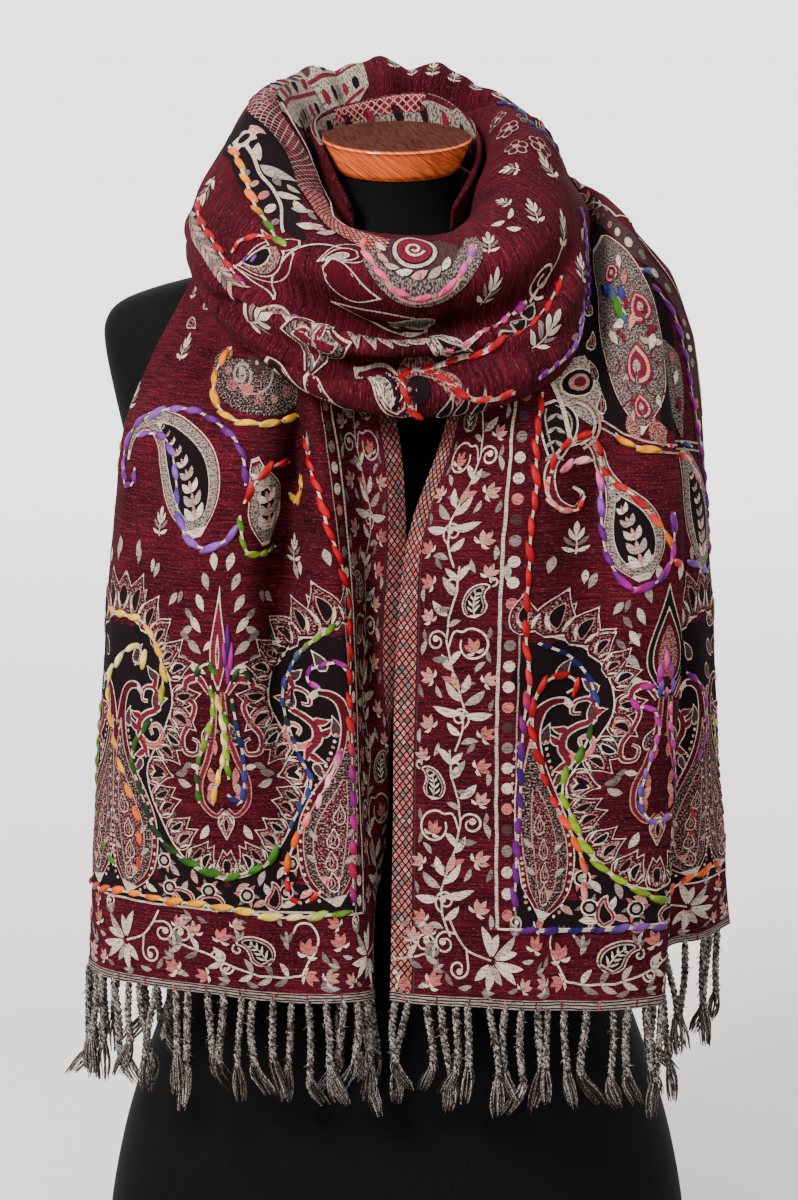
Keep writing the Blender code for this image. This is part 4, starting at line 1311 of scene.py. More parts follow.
heart = {
    "petals": ((13, 6, 66), (19, 18, 52), (20, 31, 40), (17, 44, 30), (13, 57, 22), (7, 69, 12)),
    "loop": ((3, 137), (4, 118), (9, 96), (15, 80), (13, 66), (5, 60), (1, 64)),
    "loopOuter": (3.4, 4.2, 4.2, 4.2, 4.0, 3.6, 2.8), "loopInner": (1.4, 2.4, 2.4, 2.4, 2.2, 1.9, 1.2),
    "curl": ((6, 136), (14, 145), (22, 143), (23, 134), (17, 129), (20, 118), (26, 108), (24, 99),
             (16, 99), (15, 106), (19, 108)),
    "curlOuter": (3, 5.0, 5.4, 4.8, 4.2, 4.0, 4.2, 4.0, 3.4, 2.8, 2.0),
    "curlInner": (1.2, 3.2, 3.6, 3.0, 2.4, 2.2, 2.4, 2.2, 1.7, 1.2, 0.6),
    "lined": ((9, 104, -14, 15), (27, 122, 40, 12), (28, 106, 110, 12)),
    "leaves": ((6, 80, 10, "pink"), (9, 72, -20, "rosy"), (21, 78, 70, "stone"), (4, 98, 0, "pink"),
               (23, 88, 110, "grey"), (11, 54, 150, "cream"), (7, 66, 10, "pink")),
}


def heartMotif(w, slim):
    # the tall drop in the middle of each garland in its ring of small drops, over a knot of curls
    tall = w.put((0, 138))
    width, height, squeeze, lift = (11, 64, 0.62, 4) if slim else (29, 68, 1, 0)
    tall.bands([(0, 0), (0, 30), (0, height)], profiles["tall"] * width,
               [(0, "cream"), (0.9, "wine" if slim else "black"), (4.2, "cream"), (5.0, "maroon"),
                (8.0, "pink+")], 1)
    for k, (u, v, turn) in enumerate(heart["petals"]):
        dye = "stone" if k % 3 == 1 else "cream"
        for sign in (-1, 1):
            drop(tall, (sign * u * squeeze, v + lift), sign * turn, 13.5 - 0.5 * k, 5.4, dye, 2)
            if k < 4:
                drop(tall, (sign * (u + 9) * (0.7 if slim else 1), v - 2), sign * (turn + 12), 10, 4.2,
                     "grey", 2)
    for flip in (True, False):
        side = w.put((0, 0), 0, 1, flip)
        # the hanging loop and the S-curl, each a dark stem between cream lines
        cased(side, heart["loop"], heart["loopOuter"], heart["loopInner"], "rosy", "wine", 2)
        cased(side, heart["curl"], heart["curlOuter"], heart["curlInner"], "cream", "wine", 3)
        for u, v, turn, size in heart["lined"]:
            linedLeaf(side, (u, v), turn, size, size * 0.5, "cream", "dusk+", None, 0.1, 2)
        for u, v, turn, dye in heart["leaves"]:
            leaf(side, (u, v), turn, 10.5, 4.8, dye, 0.1, 2)
    linedLeaf(w, (0, 62), 180, 18, 10, "cream", "pink+", "rosy", 0.0, 3)


def field(w, slim=False):
    # one repeat of the field over the hem row, 170 mm wide, centred on u = 0
    for flip in (False, True):
        garlandHalf(w.put((0, 0), 0, 1, flip))
    underGarland(w)
    heartMotif(w, slim)


print("figure tools ready")


weaves = {name: Weave(cloth) for name, cloth in cloths.items()}


def chevronPaisley(w, spine, widths, layer=3):
    # a large boteh: mottled band, dark inside, pairs of broad leaves up its middle
    w.bands(spine, widths, [(0, "cream"), (0.8, "wine"), (1.7, "stone+"), (7.6, "cream"), (8.4, "black")],
            layer)
    inner = curveThrough(spine, np.arange(len(spine)), np.linspace(0.7, len(spine) * 0.62, 12))
    for k, (spot, heading) in enumerate(along(inner, 8.6)):
        size = 11.5 * (1 - 0.10 * k)
        for sign in (-1, 1):
            slimLeaf(w, spot, heading + sign * 38, size, ("cream", "stone")[k % 2], 0.46, 0.12 * sign,
                     layer + 6)
        drop(w, spot, heading, size * 0.8, size * 0.26, "rosy", layer + 7)


def medallion(w, middle, reach, seed=4):
    # a pale mottled cloud with wine hearts, pointed petals and eyes, scattered by a fixed seed
    rng = np.random.default_rng(seed)
    middle, reach = np.array(middle, float), np.array(reach, float)
    for heading in np.arange(12, 372, 40.0):
        linedLeaf(w, middle + aimed(heading, reach * 0.62), heading, reach[0] * 0.62, reach[0] * 0.45,
                  "wine", "grey+", None, 0.1, 8)
    for k in range(16):
        turn, out = rng.uniform(0, 360), rng.uniform(0.2, 0.95)
        leaf(w, middle + aimed(turn, reach * out), turn + rng.uniform(-50, 50), 9, 3.6,
             ("wine", "cream", "wine", "rosy")[k % 4], 0.15, 11)


def heartShape(w, at, turn, size, layer=12):
    # a wine heart in a pink line, with a cream eye
    w = w.put(at, turn, size)
    for depth, (g, dye) in enumerate(((1.0, "wine"), (0.86, "rosy"), (0.66, "wine"), (0.3, "stone"))):
        for sign in (-1, 1):
            half = np.array([(0, 9), (sign * 3.2, 2), (sign * 4.2, -5), (sign * 2, -8)])
            w.ribbon(half * g, np.array((0.4, 4, 7.4, 8, 6, 1)) * g, dye, layer + depth)


def star(w, at, size, petals, dye, middle, layer):
    for k in range(petals):
        leaf(w, at, 360 * k / petals, size, size * 0.52, dye, 0.05, layer)
    w.disc(at, size * 0.2, middle, layer + 1, 7)


def discs(w, at, rings, sides):
    # rings in rings: each is radius, dye, layer
    for radius, dye, layer in rings:
        w.disc(at, radius, dye, layer, sides)


# left end: u runs from the middle of the chest out to the side, v up from the hem
w = weaves["leftEnd"]
# the left border's trellis and vine are dimmed to 0.62 as painted shade, for the fold's shadow they lie in
sideBorder(w, w.cloth.length, 3, 55, 350, 0.62)
w.ribbon(wavy([(79, 55), (79, w.cloth.length)], 0.3, 10, 5), 1.0, "stone", 1)
endBorder(w, (-57, 113, 283, 453), 350, 4)
for centre in (163, 333):
    field(w.put((centre, 55)), True)
chevronPaisley(w, [(184, 285), (188, 300), (196, 318), (208, 334), (224, 347), (240, 352), (254, 348),
                   (262, 338), (262, 326)], (8, 36, 45, 42, 32, 20, 12, 7, 4))
chevronPaisley(w, [(134, 280), (135, 294), (138, 306), (144, 317), (150, 326), (153, 333)],
               (6, 22, 27, 22, 13, 5))
scatter(sprig, w, ((217, 284, 0, 20), (111, 268, 4, 20), (238, 392, 0, 23), (284, 356, 0, 21),
                   (300, 290, 0, 20), (100, 334, 0, 17), (312, 400, 0, 20), (330, 300, 0, 18),
                   (262, 440, 0, 19)))
# half round under the roll: a curl and pink blotches on a mottled ground, inside the yellow stitches
w.ribbon([(196, 400), (188, 388), (172, 380), (152, 377), (132, 378), (114, 388)], (10, 26, 34, 36, 32, 18),
         "dusk+", 2, weaving["coarse"])
for k, (spot, _) in enumerate(along([(186, 400), (180, 380), (162, 372), (142, 370), (122, 378)], 12)):
    w.disc(spot, (4.6, 3.2)[k % 2], ("pink+", "rosy+")[k % 2], 4, 9)
spiral(w, (166, 378), -40, 9.0, "stone", "stone", 2.2, 470, 2, 5)
w.ribbon(arc(15, -60, -300, (158, 388), 14), 1.8, "stone", 4)
linedLeaf(w, (160, 376), 80, 14, 7, "rosy", "pink", None, 0.1, 6)
star(w, (158, 394), 9, 6, "dusk", "rosy", 5)
# the left side of the chest, up into the knot
plant(w, [(250, 420), (220, 450), (180, 480), (140, 510)], 22,
      (linedLeaf, -60, 18, 9, "cream", "wine+", "pink", 0.1))

# right end: the same the other way round, out to the flap
w = weaves["rightEnd"]
sideBorder(w, w.cloth.length, 1, 47, 276)
w.ribbon(wavy([(79, 47), (79, 250)], 0.3, 10, 7), 1.0, "stone", 1)
endBorder(w, (-57, 113, 283), 276, 9)
for centre in (167, 337):
    field(w.put((centre, 47)))
chevronPaisley(w, [(148, 256), (145, 268), (140, 284), (132, 300), (122, 314), (114, 324), (110, 334),
                   (103, 341), (95, 338)], (8, 36, 44, 38, 22, 10, 8, 6, 4))
chevronPaisley(w, [(258, 250), (258, 264), (256, 282), (250, 300), (243, 316), (236, 328)],
               (8, 34, 42, 36, 22, 8))
w.ribbon([(94, 336), (90, 326), (90, 314), (94, 304), (102, 300), (105, 308), (100, 313)],
         (4, 5, 5, 4.4, 3.4, 2.4, 1.6), "cream", 3)
w.ribbon([(94, 336), (90, 326), (90, 314), (94, 304), (102, 300), (105, 308)],
         (2.4, 3.4, 3.4, 2.8, 1.8, 1), "wine", 4)
scatter(sprig, w, ((104, 272, 0, 22), (100, 222, 0, 14), (228, 232, 0, 15)))
# the nested leaf beside the border, and the pale patch with its ringed eye under the roll
w.bands([(87, 366), (92, 352), (92, 338), (90, 322)], (6, 15, 16, 12, 6, 1),
        [(0, "cream"), (0.9, "black"), (2.6, "stone"), (3.4, "black")], 3)
for v in (358, 350, 342, 334):
    for sign in (-1, 1):
        leaf(w, (91, v), 180 + sign * 40, 6, 2.2, "stone", 0.1, 8)
w.ribbon([(86, 384), (93, 362), (97, 341)], 1.8, "cream", 8)
w.ribbon([(96, 392), (100, 378), (106, 362), (110, 350)], (18, 24, 22, 8), "cream+", 2)
discs(w, (101, 376), ((9.5, "cream", 3), (8.4, "black", 4), (5.6, "rosy", 6), (3.2, "wine", 9)), 14)
for radius, dye in ((17, "rosy"), (14, "cream")):
    w.ribbon(arc(radius, 20, 150, (94, 350), 12), 1.6, dye, 9)
for path in ([(112, 352), (141, 343), (168, 337), (242, 333), (262, 330)],
             [(112, 347), (141, 338), (168, 332), (242, 328), (262, 325)]):
    w.ribbon(path, 1.3, "stone", 5)
for u, v in ((144, 350), (164, 345)):
    w.ribbon([(u + 4, v - 9), (u, v), (u - 2, v + 9)], (3, 14, 3), "pink+", 5)
# the large pale medallion on the shoulder, on a dark ground, out over the fold
w.ribbon([(132, 340), (120, 380), (116, 430), (120, 480), (136, 520)], (18, 34, 34, 34, 24), "black", 1,
         weaving["broad"])
w.ribbon([(196, 340), (206, 380), (204, 420), (190, 470)], (60, 64, 60, 40), "black", 1, weaving["broad"])
w.bands([(150, 344), (152, 362), (152, 388), (150, 412), (146, 436), (134, 466), (128, 486)],
        (3, 42, 56, 58, 46, 30, 12), [(0, "cream"), (0.9, "wine"), (1.8, "grey+")], 3)
medallion(w, (152, 396), (24, 42))
scatter(heartShape, w, ((155, 388, 8, 1.45), (162, 420, -20, 1.1), (154, 362, 4, 1.0),
                        (140, 446, -16, 0.8)))
w.ribbon([(238, 336), (236, 350), (236, 366), (233, 386), (224, 404)], (2, 14, 20, 18, 1), "grey+", 4)
for u, v, turn, dye in ((138, 400, -30, "cream"), (136, 410, 70, "cream"), (152, 408, 30, "rosy"),
                        (233, 384, 0, "pink"), (234, 370, 20, "cream"), (151, 434, 10, "pink"),
                        (149, 446, 0, "cream"), (166, 396, 30, "cream"), (237, 352, 0, "wine")):
    drop(w, (u, v), turn, 10, 5.4, dye, 14)
for u, v, turn in ((112, 356, 10), (110, 376, -10), (108, 398, 20), (112, 424, -20), (110, 452, 10),
                   (116, 486, -10), (186, 350, 80), (196, 372, 60), (204, 396, 70), (200, 424, 60),
                   (190, 448, 40), (206, 452, 90)):
    linedLeaf(w, (u, v), turn, 15, 7.6, "cream", "dusk+", "pink", 0.1, 3)
# the edge that turns back over the shoulder, with its dots
edge = [(154, 536), (160, 488), (196, 486), (230, 484), (246, 466), (264, 452), (273, 436), (274, 400),
        (276, 340), (275, 262)]
w.ribbon(wavy(edge, 0.3, 12, 3), 1.8, "cream", 4)
inner = np.array([(144, 514), (150, 481), (161, 465), (171, 456), (200, 458), (225, 458), (237, 452),
                  (245, 442), (253, 431), (260, 415), (264, 390), (266, 360), (268, 320)])
w.ribbon(inner + (1, 2), 17, "dusk", 2, weaving["broad"])
dotRow(w, inner, 2, 3.8, 14.0, 4)
plant(w, [(250, 250), (262, 215), (254, 190), (262, 150)], 15,
      (linedLeaf, -50, 14, 7, "cream", "dusk+", "pink", 0.1, 2))
plant(w, [(150, 500), (152, 540), (160, 590)], 15, (linedLeaf, -40, 16, 8, "cream", "wine+", "pink"),
      (leaf, 44, 13, 5.2, ("pink", "cream", "grey")))

# the loop round the neck: u runs from inside the lip, over the top and down, and v from the left side
# round to the right
w = weaves["frontLoop"]
scatter(sprig, w, ((84, 124, 78, 23), (110, 330, -64, 20), (84, 336, -62, 20), (85, 376, -52, 20),
                   (110, 392, -56, 22), (88, 428, -60, 22), (149, 352, -34, 26), (60, 410, -90, 18),
                   (22, 522, -82, 20), (64, 374, -80, 16), (150, 196, -36, 26), (136, 400, -30, 18),
                   (97, 470, -60, 18)))
# the side border where it climbs the left of the roll, on a dark ground: leaves, line, dots and a daisy
w.ribbon([(64, 84), (58, 118), (58, 140), (60, 162), (64, 188), (74, 208), (80, 222)],
         (26, 36, 32, 32, 28, 16, 3), "black", 0, weaving["close"])
w.ribbon([(64, 128), (63, 141), (64, 156), (63, 173), (67, 190), (81, 207)], 1.8, "cream", 4)
for u, v, radius, dye in ((70, 150, 2.6, "grey"), (69, 161, 2.4, "rosy"), (69, 173, 3.4, "pink"),
                          (72, 186, 3.6, "cream"), (77, 197, 2.6, "grey")):
    w.disc((u, v), radius, dye, 3, 10)
for k in range(8):
    leaf(w, (64, 122), 45 * k, 8.5, 5.2, "cream", 0.0, 3)
w.disc((64, 122), 3.4, "black", 5, 9)
scatter(slimLeaf, w, ((58, 132, 10, 15, "cream"), (62, 150, -40, 24, "stone"), (56, 160, 10, 13, "grey"),
                      (62, 176, -30, 17, "cream"), (54, 172, -20, 12, "stone"), (64, 196, -40, 16, "stone"),
                      (58, 190, 0, 16, "cream"), (72, 210, -30, 18, "cream"), (66, 216, 0, 14, "rosy"),
                      (56, 206, 20, 13, "grey"), (72, 226, -40, 15, "stone"), (60, 112, -30, 15, "rosy")),
                      layer=3)
# the trellis along the lip, wine behind the neck and pink to the front
lattice(w, [(56, 70), (54, 90), (49, 104), (42, 118), (36, 134), (36, 156), (40, 178)], 17, 4,
        ("wine", "maroon", "maroon"), "stone", 6, 0.84)
lattice(w, [(40, 176), (42, 198), (50, 220), (58, 240), (64, 258), (68, 274)], 15, 4,
        ("pink", "pink", "rosy"), "maroon", 6)
w.ribbon([(44, 84), (38, 96), (30, 114), (27, 134), (27, 160), (31, 190), (40, 216), (50, 238)], 1.6,
         "cream", 9)
# large outlined leaves over the front of the roll, leaf in leaf
for u, v, turn, size, width, fill, bend, layer in (
    (89, 217, 147, 48, 21, "maroon", -0.08, 1), (92, 212, 147, 38, 14, "rosy+", -0.10, 4),
    (96, 205, 147, 26, 7.5, "black", -0.06, 7), (76, 262, 149, 32, 16, "maroon", 0.08, 1),
    (79, 257, 149, 24, 10, "maroon", 0.06, 4), (82, 252, 149, 15, 4.8, "stone", 0.0, 7),
    (91, 240, 16, 34, 15, "maroon", 0.10, 1), (115, 300, -176, 62, 10, "maroon", 0.03, 1),
    (113, 304, -178, 30, 6.5, "stone+", 0.0, 4), (137, 230, 178, 33, 9, "rosy+", 0.30, 1),
    (84, 221, 178, 30, 9, "maroon", -0.2, 4),
):
    linedLeaf(w, (u, v), turn, size, width, "cream", fill, None, bend, layer, 0.75)
w.ribbon([(124, 208), (113, 205), (99, 213), (85, 225), (79, 238), (78, 250)], 1.1, "cream", 4)
w.ribbon([(124, 208), (119, 198), (116, 188), (114, 177)], 1.1, "cream", 4)
# a mottled strip with fine leaves along it
feather = [(108, 118), (113, 132), (118, 150), (123, 168), (128, 186)]
w.ribbon(feather, (4, 11, 15, 13, 5), "grey+", 2, weaving["coarse"])
plant(w, feather, 6, *((slimLeaf, turn, 13, ("stone", "grey", "rosy"), 0.22, 0.1, 3) for turn in (-32, 32)))
# the rose at the lip, rings in rings, in its mottled half round
w.ribbon([(66, 262), (82, 268), (92, 284), (94, 299), (88, 314), (76, 328), (66, 332)],
         (8, 14, 18, 19, 19, 17, 8), "grey+", 3, weaving["close"])
w.ribbon([(62, 270), (74, 282), (77, 293), (74, 304), (64, 316)], (14, 26, 28, 26, 14), "dusk", 4,
         weaving["close"])
rose = {"at": (70, 292), "wide": 1.05, "sides": 25,
        "rings": ((15.0, "black", 5), (14.2, "cream", 6), (11.6, "black", 11), (10.9, "wine", 13))}
turns = np.linspace(0, 2 * math.pi, rose["sides"])
ring = np.stack([np.sin(turns) * rose["wide"], np.cos(turns)], axis=1)
for radius, dye, layer in rose["rings"]:
    w.grid(np.stack([ring * r for r in (0.3, radius * 0.6, radius)]) + rose["at"], layer, dye)
w.ribbon(arc(6.4, 20, 520, rose["at"], 24, 0.2), 2.0, "cream", 16, weaving["curl"])
plant(w, [(66, 266), (82, 272), (90, 286), (91, 300), (84, 314)], 9,
      (leaf, -30, 10, 4.6, ("cream", "rosy", "stone"), 0.1, 15))
w.ribbon([(70, 257), (79, 263), (91, 272), (100, 285), (101, 298), (97, 311), (87, 322), (74, 332)], 1.3,
         "rosy", 6)
# four-petalled flower, leaf chain and a long leaf on the second roll
for turn, size, width in ((182, 19, 13), (100, 19, 14), (-12, 19, 13), (-66, 15, 9)):
    linedLeaf(w, (141, 240), turn, size, width, "cream", "grey+", None, 0.1, 4, 0.8)
    linedLeaf(w, (141, 240), turn, size * 0.7, width * 0.46, "cream", "wine", None, 0.1, 7, 0.6)
for k, v in enumerate((257, 264, 271, 278, 285, 292)):
    linedLeaf(w, (126.5, v), 66 - 7 * k, 13, 8.0, "stone", ("rosy+", "grey+")[k % 2], "wine", 0.1, 3, 0.7)
linedLeaf(w, (131, 296), 12, 27, 10, "cream", "grey+", "stone", 0.08, 5, 0.7)
# long and nested leaves on the lowest roll, under it
for u, v, turn, size, width, fill, layer in (
    (170, 208, -2, 40, 12, "black", 3), (173, 214, 6, 36, 9, "maroon", 6),
    (163, 236, 22, 34, 11, "maroon", 3), (169, 287, 214, 36, 18, "maroon", 3),
    (167, 283, 214, 27, 11, "black", 6), (165, 279, 214, 18, 5, "stone+", 9),
):
    linedLeaf(w, (u, v), turn, size, width, "cream", fill, None, 0.12, layer, 0.9)
# dark eyes between the two stitched lines, up to the curl
plant(w, [(142, 304), (139, 320), (134, 333), (128, 347), (123, 358)], 10.5,
      (linedLeaf, 4, 12.5, 7.6, ("rosy", "rosy", *("stone",) * 6), "black", None, 0.05, 3, 1.0))
w.ribbon(arc(8.5, 90, 620, (114, 372), 26, 0.25) * (0.9, 1.25) + (11.4, -93), 1.3, "cream", 3,
         weaving["curl"])
w.ribbon([(120, 362), (112, 384), (104, 398)], 1.2, "cream", 3)
# the horseshoe: a dark eye inside a mottled bend, and dark leaves after it
w.ribbon([(170, 287), (160, 283), (151, 286), (150, 296), (156, 304), (164, 310)], (6, 9, 10, 10, 9, 5),
         "pink+", 4)
w.disc((159, 291), 5.2, "black", 7, 12)
scatter(linedLeaf, w, ((171, 300, -60), (171, 308, -66), (172, 317, -70)), 12, 5.6, "stone", "black",
        None, 0.1, 5)
# flower outlines by the navy beads on the right of the roll
for u, v, size in ((45, 468, 9.5), (55, 434, 9), (72, 446, 8.5), (62, 484, 8), (38, 498, 9), (84, 470, 8)):
    for k in range(5):
        discs(w, (u, v) + aimed(72 * k + u, size * 0.62),
              ((size * 0.46, "stone", 2), (size * 0.35, "maroon", 3)), 8)
    w.disc((u, v), size * 0.26, "rosy", 4, 7)
scatter(leaf, w, ((66, 350, 20), (74, 356, 40), (70, 362, -20)), 10, 3.6, "cream", 0.1, 2)
# the outer edge, down the right of the roll
plant(w, [(126, 436), (140, 424), (154, 404), (162, 380)], 12, (leaf, 40, 11, 4, ("stone", "grey"), 0.1))


def reverseFace(w, shift):
    # behind the neck the other face shows: pale ground with dark lines, dots and leaves
    w = w.put((0, shift))
    w.ribbon([(34, -66), (34, -30), (33, 0), (33, 40), (38, 70), (38, 92)], (18, 40, 46, 44, 34, 10),
             "cream+", 2, weaving["coarse"])
    for u in (22, 38):
        w.ribbon([(u + 3, -60), (u, -20), (u, 20), (u + 2, 60), (u + 4, 84)], 1.8, "wine", 5)
    for k, v in enumerate(range(-54, 84, 11)):
        w.disc((30, v), 3.2, ("black", "wine", "grey")[k % 3], 6, 10)
    for k, v in enumerate(range(-60, 80, 9)):
        leaf(w, (47, v), 30 * (-1) ** k, 13, 5.4, ("black", "wine", "dusk")[k % 3], 0.1, 5)
        leaf(w, (15, v), 40 * (-1) ** k, 9, 3.6, ("black", "dusk")[k % 2], 0.1, 5)


reverseFace(weaves["frontLoop"], 0)
reverseFace(weaves["backOuter"], cloths["backOuter"].length)

# the back of the roll
w = weaves["backOuter"]
for spot, _ in along([(30, 16), (26, 60), (24, 100), (30, 136)], 19):
    sprig(w, spot, 80, 17)
for k, (spot, heading) in enumerate(along([(74, 10), (78, 80), (74, 150), (78, 220)], 19)):
    sprig(w, spot + ((-1) ** k * 10, 0), 90, 20)
    spiral(w, spot, heading + 60 * (-1) ** k, 6, "cream", "cream", 1.2, 430, 3)
w.ribbon(wavy([(112, 4), (116, 120), (112, 220)], 0.5, 12, 8), 1.6, "cream")
plant(w, [(110, 10), (116, 120), (112, 220)], 15, (leaf, 50, 16, 6.0, ("cream", "pink", "grey")),
      (leaf, -50, 15, 5.8, ("grey", "cream", "pink")))
plant(w, [(150, 10), (154, 120), (150, 220)], 19, (linedLeaf, 70, 22, 12, "cream", "wine+", "pink", 0.1),
      (linedLeaf, -80, 20, 11, "cream", "dusk+", "pink", 0.1))

# the inner pass: trellis at the foot, then a pale strip with dark figures
w = weaves["backInner"]
lattice(w, [(8, 4), (8, 278)], 14, 4, ("pink", "rosy", "grey"), "black", 1)
w.ribbon(wavy([(16.5, 0), (16.5, 280)], 0.3, 10, 2), 1.4, "cream", 3)
w.ribbon([(34, 60), (33, 100), (34, 150), (34, 200), (36, 238)], (14, 26, 26, 24, 14), "stone+", 1,
         weaving["coarse"])
lattice(w, [(38, 118), (38, 150), (38, 182)], 11, 3, ("wine", "wine", "maroon"), "rosy", 3)
for k, (spot, _) in enumerate(along([(27, 60), (27, 140), (28, 236)], 9)):
    leaf(w, spot, 50 * (-1) ** k, 12, 5, ("black", "wine", "black")[k % 3], 0.1, 4)


def dyeList(text):
    # a list of dyes from words, where a star says how often one repeats
    words = [word.partition("*") for word in text.split()]
    return [dye for dye, _, often in words for _ in range(int(often or 1))]


# running stitches of thick dyed yarn, in mm; the slant is in degrees
stitching = {"height": 3.3, "width": 4.9, "slant": 8, "slantJitter": 6, "seed": 5, "along": 9, "around": 7,
             "couch": 1.5, "couchLayer": 7, "reach": 0.4, "satinHeight": 0.75, "satinAim": 3}
thick = {"pitch": 15.0, "length": 15.4, "width": 4.9, "plump": 1.0, "under": "cream"}
fine = {**thick, "pitch": 11.4, "length": 11.8, "width": 4.1}
# lines of stitches go through flat places; satin ones lie side by side, and their rows also give each one's
# turn and length
stitchKinds = {
    "thick": thick, "fine": fine, "bead": {**fine, "plump": 1.3}, "knot": {**thick, "plump": 1.3},
    "edged": {**thick, "under": "rosy"}, "satin": 3.4, "wideSatin": 4.0, "broadSatin": 5.4,
}

